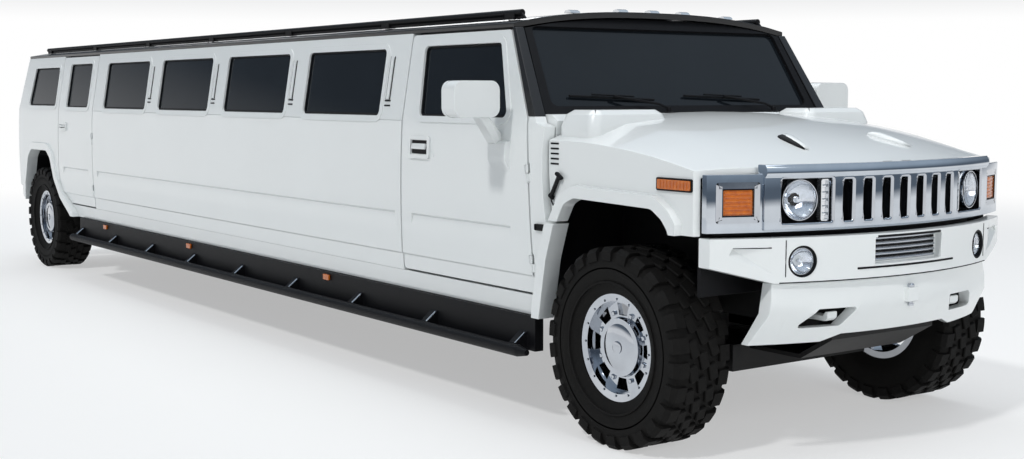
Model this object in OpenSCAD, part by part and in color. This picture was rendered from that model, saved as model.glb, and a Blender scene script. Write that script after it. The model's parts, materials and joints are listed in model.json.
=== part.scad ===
// Four-door stretch limousine on an off-road chassis.
// X points forward, Y to the car's left, Z up; the origin lies on the ground under the middle of the car.

/* [Overall] */
// Distance between the axles
wheelbase = 7900; // [6900:10:9000]
// Front axle to the front of the bumper
front_overhang = 800; // [790:1:840]
// Rear axle to the back of the rear bumper
rear_overhang = 900; // [880:1:980]
// Body width across the doors
body_w = 2000; // [1960:2:2040]
// Ground to the top of the side walls
wall_top = 1850; // [1820:1:1880]
// Height of the roof's crown above the side walls
roof_rise = 95; // [80:1:120]

/* [Body walls] */
// Thickness of doors and side walls below the belt
wall_t = 75; // [60:1:90]
// Thickness of the window frames at the top of the wall
frame_t = 50; // [40:1:60]
// How far the walls lean in from belt to roof
lean_in = 77; // [50:1:90]
// Ground to the underside of the sill
sill_bottom = 500; // [480:1:520]
// Ground to the top of the sill
sill_top = 600; // [580:1:620]
// Ground to the belt line
belt_z = 1395; // [1380:1:1405]
// Gap round doors, hood and tailgate
shut_gap = 10; // [8:0.5:14]
// Thickness of the roof skin and its frame
roof_t = 30; // [24:1:40]

/* [Doors] */
// Front axle back to the front edge of the front door
door_front_back = 575; // [570:1:600]
// Front door width at the sill
door_front_w = 1175; // [1100:5:1250]
// Rear axle forward to the front edge of the rear door
door_rear_fwd = 1285; // [1200:5:1350]
// Rear door width above the wheel arch
door_rear_w = 855; // [800:5:900]
// Radius of the hinge barrels
hinge_r = 4.5; // [3.5:0.1:4.6]

/* [Windows] */
// Number of panes between the doors
pane_count = 4; // [3:1:5]
// Width of the pillars between the panes
pillar_w = 250; // [180:5:320]
// Ground to the bottom of the windows
window_low = 1418; // [1412:1:1440]
// Ground to the top of the windows
window_high = 1778; // [1740:1:1790]
// Radius of the window corners
window_r = 30; // [10:1:60]
// Thickness of all glass
glass_t = 6; // [4:1:8]

/* [Wheels] */
// Outer radius of the tyre
tyre_r = 440; // [430:1:450]
// Width of the tyre
tyre_w = 315; // [290:1:325]
// Distance between the tyre centres across an axle
track = 1724; // [1700:2:1740]
// Number of lugs round each shoulder of the tyre
lug_count = 26; // [18:1:30]
// Depth of the tread
lug_h = 15; // [10:1:18]
// Angle that one lug covers round the tyre
lug_angle = 8.6; // [6:0.2:9]
// Radius of the rim's flange
rim_r = 235; // [220:1:250]
// Width of the rim
rim_w = 230; // [210:1:240]
// Number of rim windows
rim_windows = 8; // [5:1:10]
// Radius of the stub axles
stub_r = 30; // [25:1:34]

/* [Front end] */
// Plan radius of the grille's bow
nose_r = 2300; // [2200:10:2600]
// Front axle to the grille's face at the middle
grille_fwd = 740; // [735:1:760]
// Number of slots in the grille
slot_count = 7; // [5:1:8]
// Width of one slot
slot_w = 62; // [40:1:70]
// Diameter of the main headlamps
headlamp_d = 178; // [160:1:190]
// Plan radius of the bumper's bow
bumper_r = 1950; // [1850:10:2200]
// Half-width of the hood and fenders
fender_half = 965; // [955:1:975]
// Wall thickness of the hood
hood_t = 28; // [20:1:32]

/* [Chassis] */
// Height of the frame rails
rail_h = 130; // [110:1:140]
// Width of one rail
rail_w = 80; // [60:1:90]
// Outside width across the rails
frame_w = 880; // [860:2:900]
// Ground to the underside of the rails between the axles
rail_z = 430; // [420:1:435]

/* [Hidden] */
$fn = 64;

// Running and seating clearances
fit = 0.3;
over = 1;
door_clear = 6;

// Stations along the car
fx = (wheelbase + rear_overhang - front_overhang) / 2;
rx = fx - wheelbase;
half_w = body_w / 2;
axle_z = tyre_r;
front_end = fx + front_overhang;
rear_end = rx - rear_overhang;
wheel_y = track / 2;

// Side wall section: bulge below the belt, lean above it
side_r = 7000;
bulge_z = 1000;
press_z = 914;
press_h = 78;
press_t = 13;
crease_z = 695;
crease_step = 8;
tuck = 14;
strips = 8;
function bulge(z) = half_w - side_r + sqrt(side_r * side_r - (z - bulge_z) * (z - bulge_z));
belt_y = bulge(belt_z);
top_y = belt_y - lean_in;
inner_low = half_w - wall_t;
inner_top = top_y - frame_t;
side_in = inner_top - 60;
side_out = half_w + 100;
door_low = sill_top + shut_gap;
door_high = wall_top - shut_gap;

// Roof section
edge_h = 22;
roof_half = top_y - 3;
roof_steps = 16;
rail_y = 800;
rail_r = 17;
rail_up = 30;
rail_web = 14;
rail_feet = 7;
rail_foot_l = 90;
rail_foot_w = 34;
roof_lamp_w = 60;
function roof_z(y) = wall_top + edge_h + (roof_rise - edge_h) * (1 - pow(abs(y) / roof_half, 2.6));

// Door and panel edges along the car
df_x = fx - door_front_back;
b_x = df_x - door_front_w;
dr_x = rx + door_rear_fwd;
c_x = dr_x - door_rear_w;
panel_x1 = dr_x + shut_gap;
panel_x2 = b_x - shut_gap;
pane_pitch = (panel_x2 - panel_x1) / (pane_count + 0.2);
pane_w = pane_pitch - pillar_w;
body_rear = rx - 720;
lip_w = 65;
lip_y = half_w + 18;

// Front door edge: lean of its front edge and of the hinge axis
edge_lean = 65 / 810;
a_top = fx - 870;
a_belt = df_x - edge_lean * (belt_z + 25 - door_low);
hinge_h = 40;
mirror_x = fx - 790;
mirror_z = 1425;
mirror_w = 255;
mirror_h = 170;
foot_z = 1240;
hinge_web = 20;

// Windshield plane
ws_x = fx - 600;
ws_z = 1450;
ws_run = 270;
ws_rise = 455;
ws_angle = atan(ws_run / ws_rise);
ws_len = sqrt(ws_run * ws_run + ws_rise * ws_rise);
ws_frame_t = 40;

// Cowl, firewall and floor
cowl_low = 1310;
cowl_top = 1440;
pillar_split = cowl_top - 10;
floor_z = rail_z + rail_h;
floor_t = 30;
rear_floor_z = floor_z + rail_h;
wall_x = fx - 640;
riser_x = rx + 670;
house_in = 650;
house_t = 18;
house_l = 1030;

// Nose: everything bows about one vertical line
nose_x = fx + grille_fwd - nose_r;
grille_t = 40;
core_r = nose_r - grille_t - 20;
hood_gap = 16;
hood_edge_r = nose_r - grille_t - hood_gap;
hood_rear = fx - 500;
hood_bottom = 960;
hood_hinge_x = fx + grille_fwd - grille_t - hood_gap / 2;
hood_hinge_z = 1246;
hood_back_r = hood_hinge_x - hood_rear;
header_top = 1250;
grille_low = 985;
core_top = 1185;

// Front bumper bows about its own line
bumper_x = front_end - bumper_r;
bumper_low = 768;
bumper_high = 955;
face_r = bumper_r - 18;
bumper_half = fender_half - 25;
bumper_end_low = 835;
function on_face(y, z, out) = [bumper_x + sqrt(pow(face_r + out, 2) - y * y), y, z];
plate_half = 215;
fog_y = 570;
fog_z = 856;
fog_r = 58;
guard_r = bumper_r - 22;
guard_top_half = bumper_half - 250;
guard_half = bumper_half - 200;
guard_low = 505;
guard_break = 640;

// Wheel and axle details
seat_r = rim_r - 18;
king_y = wheel_y - 122;
stub_end = 54;
disc_r = 165;
skid_half = 330;

module along_x(x1, x2) {
    translate([x1, 0, 0])
        rotate([90, 0, 90])
            linear_extrude(x2 - x1)
                children();
}

module along_y(y1, y2) {
    translate([0, y2, 0])
        rotate([90, 0, 0])
            linear_extrude(y2 - y1)
                children();
}

module both() {
    children();
    mirror([0, 1, 0])
        children();
}

module soft(r) {
    offset(r = r, $fn = 24)
        offset(delta = -r)
            children();
}

// Section of the left wall between sill and roof
module wall_2d() {
    polygon(concat(
        [[half_w - tuck - 6, sill_top], [bulge(crease_z) - crease_step, crease_z - crease_step]],
        [for (i = [0:strips]) let (z = crease_z + (belt_z - crease_z) * i / strips) [bulge(z), z]],
        [[top_y, wall_top], [inner_top, wall_top], [inner_low, belt_z], [inner_low, sill_top]]));
}

// Section of a thin layer that follows the wall above the belt, for glass
module glass_2d(depth) {
    polygon([[belt_y - depth, belt_z], [top_y - depth, wall_top],
        [top_y - depth - glass_t, wall_top], [belt_y - depth - glass_t, belt_z]]);
}

// Clear section of the cabin, kept the clearance c inside the walls
module cabin_2d(c) {
    polygon(concat(
        [[inner_low - c, floor_z], [inner_low - c, belt_z], [inner_top - c, wall_top]],
        [for (i = [0:roof_steps])
            let (y = (inner_top - c) * (1 - 2 * i / roof_steps)) [y, roof_z(y) - roof_t - c]],
        [[c - inner_top, wall_top], [c - inner_low, belt_z], [c - inner_low, floor_z]]));
}

// Wheel openings seen from the side
module front_arch_2d() {
    translate([fx, 0])
        soft(60)
            polygon([[-526, 400], [-455, 780], [-400, 940], [-340, 1042], [-270, 1073],
                [250, 1060], [315, 1020], [358, 970], [358, 400]]);
}

module rear_arch_2d() {
    translate([rx, 0])
        soft(60)
            polygon([[930, 400], [480, 640], [325, 790], [225, 975], [130, 1036],
                [-300, 1036], [-400, 970], [-500, 720], [-520, 400]]);
}

module front_door_2d() {
    soft(25)
        polygon([[df_x, door_low], [a_belt, belt_z + 25], [a_top, door_high], [b_x, door_high],
            [b_x, door_low]]);
}

module rear_door_2d() {
    soft(12)
        difference() {
            translate([c_x, door_low])
                square([door_rear_w, door_high - door_low]);
            offset(delta = lip_w + shut_gap)
                rear_arch_2d();
        }
}

// Outlines of the windows, from the side, made smaller by the inset
module front_window_2d(inset) {
    offset(delta = -inset)
        soft(window_r)
            polygon([[fx - 795, window_low], [fx - 925, window_high], [b_x + 135, window_high],
                [b_x + 165, window_low]]);
}

module rear_window_2d(inset) {
    offset(delta = -inset)
        soft(window_r)
            translate([c_x + 200, window_low])
                square([door_rear_w - 310, window_high - window_low]);
}

module stretch_windows_2d(inset) {
    offset(delta = -inset)
        soft(window_r)
            for (i = [0:pane_count - 1])
                translate([panel_x1 + pane_pitch * (i + 0.6) - pane_w / 2, window_low])
                    square([pane_w, window_high - window_low]);
}

module quarter_window_2d(inset) {
    offset(delta = -inset)
        soft(window_r)
            polygon([[c_x - 90, window_low + 12], [c_x - 90, window_high - 16],
                [body_rear + 380, window_high - 16], [body_rear + 300, window_low + 12]]);
}

// Pressed line along a panel
module crease(x1, x2) {
    y = bulge(press_z);
    along_x(x1, x2)
        polygon([[y + 2, press_z], [y - press_t, press_z - 8], [y + 2, press_z - press_h]]);
}

// Hinge barrels in a frame with the axis along Z: dir 1 belongs to the post, -1 to the leaf
module barrels(dir, levels) {
    for (z = levels)
        translate([0, 0, dir > 0 ? z - hinge_h - fit : z]) {
            cylinder(r = hinge_r, h = hinge_h);
            translate([dir > 0 ? 0 : -hinge_web, -hinge_r * 2.4, 0])
                cube([hinge_web, hinge_r * 2.2, hinge_h]);
        }
}

// Room cut in one leaf for the other leaf's barrels
module barrel_room(dir, levels) {
    for (z = levels)
        translate([0, 0, (dir > 0 ? z - hinge_h : z) - 6])
            cylinder(r = hinge_r + 9, h = hinge_h + 12);
}

door_levels = [140, 560];

module at_front_hinge() {
    translate([df_x + shut_gap / 2, half_w, door_low])
        rotate([0, -atan(edge_lean), 0])
            children();
}

module at_rear_hinge() {
    translate([dr_x + shut_gap / 2, half_w, door_low])
        children();
}

bay_count = 6;
bay_front = fx - 1200;
bay_rear = riser_x + 300;
function bay_x(i) = bay_rear + (bay_front - bay_rear) * i / (bay_count - 1);
rail_in = frame_w / 2 - rail_w;
board_y = half_w - 65;
step_z = 335;
step_out = 60;
step_r = 28;
step_brackets = 9;
horn_x = fx + 600;
kick_x = fx - 605;
receiver_out = 64;
receiver_in = 51;
receiver_z = floor_z - 31;
receiver_pin_r = 8.2;

// Pair of frame rails with the side outline given as a child
module rails() {
    color("dimgray")
        both()
            along_y(rail_in, frame_w / 2)
                children();
}

module frame_front() {
    rails()
        polygon([[horn_x, floor_z], [horn_x, floor_z + rail_h], [fx - 470, floor_z + rail_h],
            [kick_x, floor_z], [kick_x, rail_z], [fx - 470, floor_z]]);
}

module frame_rails() {
    rails()
        translate([riser_x - 5, rail_z])
            square([kick_x - riser_x + 5, rail_h]);
}

module frame_rear() {
    rails()
        polygon([[riser_x - 5, floor_z], [riser_x - 140, floor_z + rail_h],
            [body_rear - 15, floor_z + rail_h], [body_rear - 15, floor_z],
            [riser_x - 140, floor_z], [riser_x - 5, rail_z]]);
}

module crossmembers() {
    color("dimgray") {
        for (i = [0:bay_count - 1])
            translate([bay_x(i), -rail_in, rail_z + 65])
                cube([90, 2 * rail_in, rail_h - 65]);
        translate([body_rear + 40, -rail_in, floor_z])
            cube([90, 2 * rail_in, rail_h - 20]);
        difference() {
            translate([rear_end + 10, -receiver_out / 2, receiver_z - receiver_out / 2])
                cube([body_rear + 130 - rear_end - 10, receiver_out, receiver_out]);
            translate([rear_end, -receiver_in / 2, receiver_z - receiver_in / 2])
                cube([280, receiver_in, receiver_in]);
            translate([rear_end + 60, -receiver_out, receiver_z])
                rotate([-90, 0, 0])
                    cylinder(r = receiver_pin_r, h = 2 * receiver_out);
        }
    }
}

module outriggers() {
    color("dimgray")
        both()
            for (i = [0:bay_count - 1])
                translate([bay_x(i) + 20, frame_w / 2, rail_z + 20])
                    cube([50, board_y - frame_w / 2, 40]);
}

module floor() {
    w = inner_low - fit;
    color("gray") {
        translate([riser_x, -w, floor_z])
            cube([wall_x + 30 - riser_x, 2 * w, floor_t]);
        translate([wall_x, -w, floor_z])
            cube([30, 2 * w, cowl_low - floor_z]);
        translate([riser_x, -house_in + fit, floor_z])
            cube([30, 2 * (house_in - fit), rail_h + floor_t]);
        translate([body_rear + 65, -house_in + fit, rear_floor_z])
            cube([riser_x + 30 - body_rear - 65, 2 * (house_in - fit), floor_t]);
    }
}

module roof() {
    color("black")
        along_x(body_rear + 130, fx - 850)
            polygon(concat(
                [[roof_half, wall_top]],
                [for (i = [0:roof_steps]) let (y = roof_half * (1 - 2 * i / roof_steps)) [y, roof_z(y)]],
                [[-roof_half, wall_top], [-inner_top, wall_top]],
                [for (i = [0:roof_steps])
                    let (y = inner_top * (2 * i / roof_steps - 1)) [y, roof_z(y) - roof_t]],
                [[inner_top, wall_top]]));
}

module roof_rails() {
    z = roof_z(rail_y - rail_foot_w / 2) + fit;
    x1 = body_rear + 330;
    x2 = fx - 930;
    foot_pitch = (x2 - x1 - 2 * rail_foot_l) / (rail_feet - 1);
    color("black")
        both() {
            translate([x1, rail_y, z + rail_up])
                rotate([0, 90, 0])
                    cylinder(r = rail_r, h = x2 - x1);
            along_y(rail_y - rail_web / 2, rail_y + rail_web / 2)
                polygon([[x1, z], [x2 + rail_up, z], [x2, z + rail_up], [x1, z + rail_up]]);
            for (i = [0:rail_feet - 1])
                translate([x1 + rail_foot_l / 2 + foot_pitch * i, rail_y - rail_foot_w / 2, z])
                    cube([rail_foot_l, rail_foot_w, rail_up]);
        }
}

// Low lens with a sloped front and back
module roof_lamps() {
    color("lightgray")
        for (y = [-520, -210, 0, 210, 520]) {
            z = roof_z(max(0, abs(y) - roof_lamp_w / 2)) + fit;
            translate([fx - 900, 0, z])
                along_y(y - roof_lamp_w / 2, y + roof_lamp_w / 2)
                    polygon([[-28, 0], [28, 0], [18, 11], [4, 15], [-20, 12]]);
        }
}

module amber_lamps() {
    color("orange") {
        both()
            intersection() {
                along_x(fx + 400, fx + 700)
                    translate([amber_in, amber_low])
                        square([amber_w, amber_h]);
                translate([nose_x, 0, 900])
                    difference() {
                        cylinder(r = nose_r - 16, h = 400, $fn = 256);
                        translate([0, 0, -over])
                            cylinder(r = core_r + 22, h = 402, $fn = 256);
                    }
            }
        both()
            for (x = [fx - 2650, fx - 4696, fx - 6400])
                translate([x, half_w - 15 + fit, 452])
                    cube([70, 14, 34]);
    }
}

// Space that the hood's rear edge sweeps as it opens, made larger by the clearance c
module hood_sweep(c) {
    translate([hood_hinge_x, 0, hood_hinge_z])
        rotate([90, 0, 0])
            cylinder(r = hood_back_r + c, h = 3 * half_w, center = true, $fn = 256);
}

module cowl() {
    color("white")
        intersection() {
            difference() {
                along_y(-half_w, half_w)
                    polygon([[wall_x, cowl_low], [fx - 480, cowl_low], [fx - 480, cowl_top - 40],
                        [fx - 545, cowl_top], [wall_x - 50, cowl_top], [wall_x - 50, cowl_top - 40],
                        [wall_x, cowl_top - 60]]);
                hood_sweep(shut_gap);
            }
            along_x(fx - 800, fx - 400)
                cabin_2d(door_clear);
        }
}

module in_windshield() {
    translate([ws_x, 0, ws_z])
        rotate([0, -ws_angle, 0])
            children();
}

module windshield_2d(inset) {
    offset(delta = -inset)
        soft(35)
            polygon([[67 - inner_low, 30], [inner_low - 67, 30], [inner_top - 47, ws_len - 55],
                [47 - inner_top, ws_len - 55]]);
}

module windshield_frame() {
    color("black")
        difference() {
            intersection() {
                in_windshield()
                    translate([-ws_frame_t, -half_w, -100])
                        cube([ws_frame_t, 2 * half_w, ws_len + 200]);
                along_x(fx - 1000, fx - 500)
                    cabin_2d(door_clear);
                translate([fx - 1000, -half_w, cowl_top])
                    cube([500, 2 * half_w, 600]);
            }
            in_windshield()
                along_x(-ws_frame_t - over, over)
                    windshield_2d(0);
        }
}

module windshield() {
    color("darkslategray")
        in_windshield()
            along_x(-18 - glass_t, -18)
                windshield_2d(fit);
}

// The pillar in front of the door, whole from sill to roof
module pillar_shape() {
    difference() {
        intersection() {
            union() {
                along_x(fx - 1000, fx - 380)
                    wall_2d();
                along_x(fx - 1000, fx - 380)
                    polygon([[half_w - 40, sill_bottom], [half_w - tuck - 6, sill_top + over],
                        [inner_low, sill_top + over], [inner_low, sill_bottom]]);
                intersection() {
                    along_y(inner_low, lip_y)
                        difference() {
                            offset(delta = lip_w)
                                front_arch_2d();
                            front_arch_2d();
                        }
                    translate([fx - 700, 0, sill_bottom])
                        cube([350, 2 * half_w, 450]);
                }
            }
            along_y(side_in, side_out)
                difference() {
                    polygon([[df_x + shut_gap, sill_bottom], [df_x + shut_gap, door_low],
                        [a_belt + shut_gap, belt_z + 25], [a_top + shut_gap, wall_top],
                        [fx - 835, wall_top], [fx - 562, cowl_top - 40], [fx - 480, cowl_top - 60],
                        [fx - 480, hood_bottom], [fx - 380, hood_bottom - shut_gap],
                        [fx - 380, sill_bottom]]);
                    front_arch_2d();
                }
        }
        intersection() {
            hood_sweep(shut_gap);
            translate([fx - 800, 0, hood_bottom - shut_gap])
                cube([800, 2 * half_w, 800]);
        }
    }
}

module front_pillars() {
    color("white")
        both() {
            difference() {
                intersection() {
                    pillar_shape();
                    translate([fx - 1000, 0, 0])
                        cube([1000, 2 * half_w, pillar_split]);
                }
                at_front_hinge()
                    barrel_room(-1, door_levels);
            }
            at_front_hinge()
                barrels(1, door_levels);
        }
}

module a_pillars() {
    color("black")
        both()
            intersection() {
                pillar_shape();
                translate([fx - 1000, 0, pillar_split])
                    cube([1000, 2 * half_w, wall_top]);
            }
}

module sills() {
    color("white")
        both()
            difference() {
                along_x(rx + 500, df_x + shut_gap)
                    polygon([[half_w - 40, sill_bottom], [half_w - tuck - 6, sill_top], [inner_low, sill_top],
                        [inner_low, sill_bottom]]);
                along_y(side_in, side_out)
                    offset(delta = lip_w + fit)
                        rear_arch_2d();
            }
}

// Part of the wall section between two heights
module wall_part_2d(z1, z2) {
    intersection() {
        wall_2d();
        translate([0, z1])
            square([2 * half_w, z2 - z1]);
    }
}

module window_bands() {
    color("white")
        both()
            difference() {
                along_x(panel_x1, panel_x2)
                    wall_part_2d(belt_z, wall_top);
                along_y(side_in, side_out)
                    stretch_windows_2d(0);
            }
}

module side_panels() {
    color("white")
        both() {
            difference() {
                along_x(panel_x1, panel_x2)
                    wall_part_2d(sill_top, belt_z);
                crease(panel_x1 + 100, panel_x2 - 60);
                at_rear_hinge()
                    barrel_room(-1, door_levels);
            }
            at_rear_hinge()
                barrels(1, door_levels);
        }
}

module quarter_panels() {
    color("white")
        both()
            intersection() {
                union() {
                    difference() {
                        along_x(body_rear, rx + 1000)
                            wall_2d();
                        along_y(side_in, side_out)
                            quarter_window_2d(0);
                    }
                    intersection() {
                        along_y(inner_low, lip_y)
                            difference() {
                                offset(delta = lip_w)
                                    rear_arch_2d();
                                rear_arch_2d();
                            }
                        translate([rx - 800, 0, sill_bottom])
                            cube([1800, 2000, 800]);
                    }
                }
                along_y(side_in, side_out)
                    difference() {
                        polygon([[body_rear, sill_top + 100], [body_rear, belt_z],
                            [body_rear + 130, wall_top],
                            [c_x - shut_gap, wall_top], [c_x - shut_gap, door_low + 300],
                            [rx + 1000, door_low + 100], [rx + 1000, sill_bottom], [rx - 400, sill_bottom]]);
                        rear_arch_2d();
                        offset(delta = shut_gap)
                            rear_door_2d();
                        difference() {
                            translate([c_x - shut_gap, sill_bottom - 10])
                                square([1000, 800]);
                            offset(delta = lip_w)
                                rear_arch_2d();
                        }
                    }
            }
}

module side_glass() {
    color("darkslategray")
        both()
            intersection() {
                along_x(body_rear, panel_x2)
                    glass_2d(14);
                along_y(side_in, side_out) {
                    stretch_windows_2d(fit);
                    quarter_window_2d(fit);
                }
            }
}

// Section of the rear wall and tailgate seen from the side
module rear_wall_2d() {
    polygon([[body_rear, rear_floor_z + 10], [body_rear, belt_z], [body_rear + 130, wall_top],
        [body_rear + 190, wall_top], [body_rear + 60, belt_z], [body_rear + 60, rear_floor_z + 10]]);
}

gate_half = 750;
gate_low = 760;
gate_high = 1788;
gate_x = body_rear + 130 * (gate_high + shut_gap / 2 - belt_z) / (wall_top - belt_z);
gate_levels = [-420, 420];

module at_gate_hinge() {
    translate([gate_x, 0, gate_high + shut_gap / 2])
        rotate([0, -90, 0])
            rotate([90, 0, 0])
                children();
}

module rear_frame() {
    color("white") {
        difference() {
            intersection() {
                along_y(-half_w, half_w)
                    rear_wall_2d();
                along_x(body_rear - 10, body_rear + 300)
                    cabin_2d(fit);
                translate([body_rear - 10, -half_w, 0])
                    cube([400, 2 * half_w, wall_top - fit]);
            }
            translate([body_rear - 50, -gate_half - shut_gap, gate_low - shut_gap])
                cube([400, 2 * (gate_half + shut_gap), gate_high - gate_low + 2 * shut_gap]);
            at_gate_hinge()
                barrel_room(-1, gate_levels);
        }
        at_gate_hinge()
            barrels(1, gate_levels);
    }
}

module tailgate_window_2d(inset) {
    offset(delta = -inset)
        soft(40)
            polygon([[-620, belt_z + 40], [620, belt_z + 40], [590, gate_high - 60], [-590, gate_high - 60]]);
}

module tailgate() {
    color("white") {
        difference() {
            along_y(-gate_half, gate_half)
                intersection() {
                    rear_wall_2d();
                    translate([body_rear - 50, gate_low])
                        square([400, gate_high - gate_low]);
                }
            along_x(body_rear - 50, body_rear + 400)
                tailgate_window_2d(0);
            at_gate_hinge()
                barrel_room(1, gate_levels);
        }
        at_gate_hinge()
            barrels(-1, gate_levels);
    }
}

module tailgate_glass() {
    color("darkslategray")
        intersection() {
            along_y(-gate_half, gate_half)
                polygon([[body_rear + 20, belt_z], [body_rear + 150, wall_top],
                    [body_rear + 150 + glass_t, wall_top], [body_rear + 20 + glass_t, belt_z]]);
            along_x(body_rear - 50, body_rear + 400)
                tailgate_window_2d(fit);
        }
}

module tail_lamps() {
    color("red")
        both()
            translate([body_rear - 24, 785, 960])
                cube([24 - fit, 115, 260]);
}

module rear_bumper() {
    color("white")
        difference() {
            along_y(-950, 950)
                polygon([[body_rear - 15 - fit, floor_z + 40], [body_rear - 15 - fit, 800],
                    [rear_end + 20, 800], [rear_end, 780], [rear_end, floor_z + 60],
                    [rear_end + 20, floor_z + 40]]);
            both()
                translate([rear_end, 950 - 90, 0])
                    rotate([0, 0, 45])
                        cube([300, 300, 2000]);
        }
}

// A slice of the nose between two radii about its bow line
module nose_ring(r1, r2, z1, z2) {
    translate([nose_x, 0, z1])
        difference() {
            cylinder(r = r2, h = z2 - z1, $fn = 256);
            translate([0, 0, -over])
                cylinder(r = r1, h = z2 - z1 + 2 * over, $fn = 256);
        }
}

module front_window(y1, y2, z1, z2) {
    translate([fx + 300, y1, z1])
        cube([700, y2 - y1, z2 - z1]);
}

slot_pitch = 109;
opening_r = 14;
grille_half = 722;
corner_half = 945;
roll_h = 52;
roll_t = 17;
roll_in = 6;
amber_in = 760;
amber_w = 122;
amber_low = 1046;
amber_h = 104;
lamp_in = 402;
lamp_out = 652;
lamp_y = 556;
lamp_z = 1103;
slot_low = 1004;
slot_high = 1192;

// An opening with rounded corners, cut straight through the nose
module nose_opening(y1, y2, z1, z2) {
    along_x(fx + 300, front_end)
        soft(opening_r)
            translate([y1, z1])
                square([y2 - y1, z2 - z1]);
}

// The half-round moulding along the top of the grille
module header_roll() {
    translate([nose_x, 0, 0])
        rotate_extrude($fn = 256)
            polygon([for (a = [-90:15:90])
                [nose_r - roll_in + roll_t * cos(a), header_top - over - roll_h / 2 * (1 - sin(a))]]);
}

module grille() {
    color("silver")
        difference() {
            union() {
                intersection() {
                    union() {
                        nose_ring(nose_r - grille_t, nose_r, grille_low, header_top);
                        header_roll();
                    }
                    front_window(-grille_half, grille_half, 900, 1400);
                }
                intersection() {
                    nose_ring(nose_r - grille_t, nose_r - 14, 975, 1212);
                    front_window(-corner_half, corner_half, 900, 1400);
                }
                intersection() {
                    nose_ring(core_r + fit, nose_r - 30, 975, 1000);
                    front_window(-700, 700, 900, 1400);
                }
            }
            for (i = [0:slot_count - 1])
                nose_opening((i - (slot_count - 1) / 2) * slot_pitch - slot_w / 2,
                    (i - (slot_count - 1) / 2) * slot_pitch + slot_w / 2, slot_low, slot_high);
            both() {
                nose_opening(lamp_in, lamp_out, slot_low, slot_high + 6);
                front_window(amber_in - fit, amber_in + amber_w + fit, amber_low - fit,
                    amber_low + amber_h + fit);
            }
            translate([hood_hinge_x, -110, hood_hinge_z])
                rotate([-90, 0, 0])
                    cylinder(r = hinge_r + 6, h = 220);
        }
}

module front_lamps() {
    color("lightgray")
        both() {
            intersection() {
                translate([fx + 300, lamp_y, lamp_z])
                    rotate([0, 90, 0])
                        cylinder(d = headlamp_d, h = front_overhang);
                nose_ring(core_r + fit, nose_r - 10, 900, 1300);
            }
            intersection() {
                front_window(lamp_in + 10, lamp_in + 50, slot_low + 10, slot_high - 6);
                nose_ring(core_r + fit, nose_r - 16, 900, 1300);
            }
            intersection() {
                translate([fx + 300, fog_y, fog_z])
                    rotate([0, 90, 0])
                        cylinder(r = fog_r, h = front_overhang);
                bumper_ring(bumper_r - 59, bumper_r - 24, 700, 1000);
            }
        }
}

module core_support() {
    color("black") {
        intersection() {
            nose_ring(core_r - 70, core_r, 960, core_top);
            front_window(-690, 690, 600, 1400);
        }
        intersection() {
            nose_ring(core_r - 22, core_r, 960, core_top);
            front_window(-880, 880, 600, 1400);
        }
        intersection() {
            nose_ring(core_r - 60, core_r - 2, 780, 990);
            front_window(-640, 640, 600, 1400);
        }
        both()
            translate([fx + 520, frame_w / 2 - rail_w, floor_z + rail_h])
                cube([80, rail_w, 150]);
        both() {
            translate([hood_hinge_x, 30 + fit, hood_hinge_z])
                rotate([-90, 0, 0])
                    cylinder(r = hinge_r, h = 60);
            translate([hood_hinge_x - 2, 30 + fit, core_top - 20])
                cube([4, 60, hood_hinge_z - core_top + 20]);
            translate([hood_hinge_x - 60, 30 + fit, core_top - 20])
                cube([60, 60, 18]);
        }
    }
}

// A slice of the bumper between two radii about its bow line
module bumper_ring(r1, r2, z1, z2) {
    translate([bumper_x, 0, z1])
        difference() {
            cylinder(r = r2, h = z2 - z1, $fn = 256);
            translate([0, 0, -over])
                cylinder(r = r1, h = z2 - z1 + 2 * over, $fn = 256);
        }
}

// Wedge cut from the bumper's end, deepest at its outer top corner
module end_recess() {
    proud = 8;
    deep = 26;
    points = [on_face(855, 917, proud), on_face(690, 917, proud), on_face(667, 790, proud),
        on_face(875, 878, proud), on_face(855, 917, -deep)];
    polyhedron(points = points, faces = [[2, 1, 0], [3, 2, 0], [1, 2, 4], [2, 3, 4], [1, 4, 0], [4, 3, 0]]);
}

module front_bumper() {
    color("white")
        difference() {
            intersection() {
                bumper_ring(bumper_r - 76, face_r, bumper_low, bumper_high);
                along_x(fx + 300, front_end)
                    polygon([[-guard_top_half, bumper_low], [guard_top_half, bumper_low],
                        [bumper_half, bumper_end_low], [bumper_half, bumper_high],
                        [-bumper_half, bumper_high], [-bumper_half, bumper_end_low]]);
            }
            intersection() {
                front_window(-plate_half, plate_half, 828, 938);
                bumper_ring(bumper_r - 55, bumper_r + 10, 700, 1000);
            }
            both() {
                intersection() {
                    translate([fx + 300, fog_y, fog_z])
                        rotate([0, 90, 0])
                            cylinder(r = fog_r + 4, h = front_overhang);
                    bumper_ring(bumper_r - 59 - fit, bumper_r + 10, 700, 1000);
                }
                end_recess();
            }
        }
}

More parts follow.
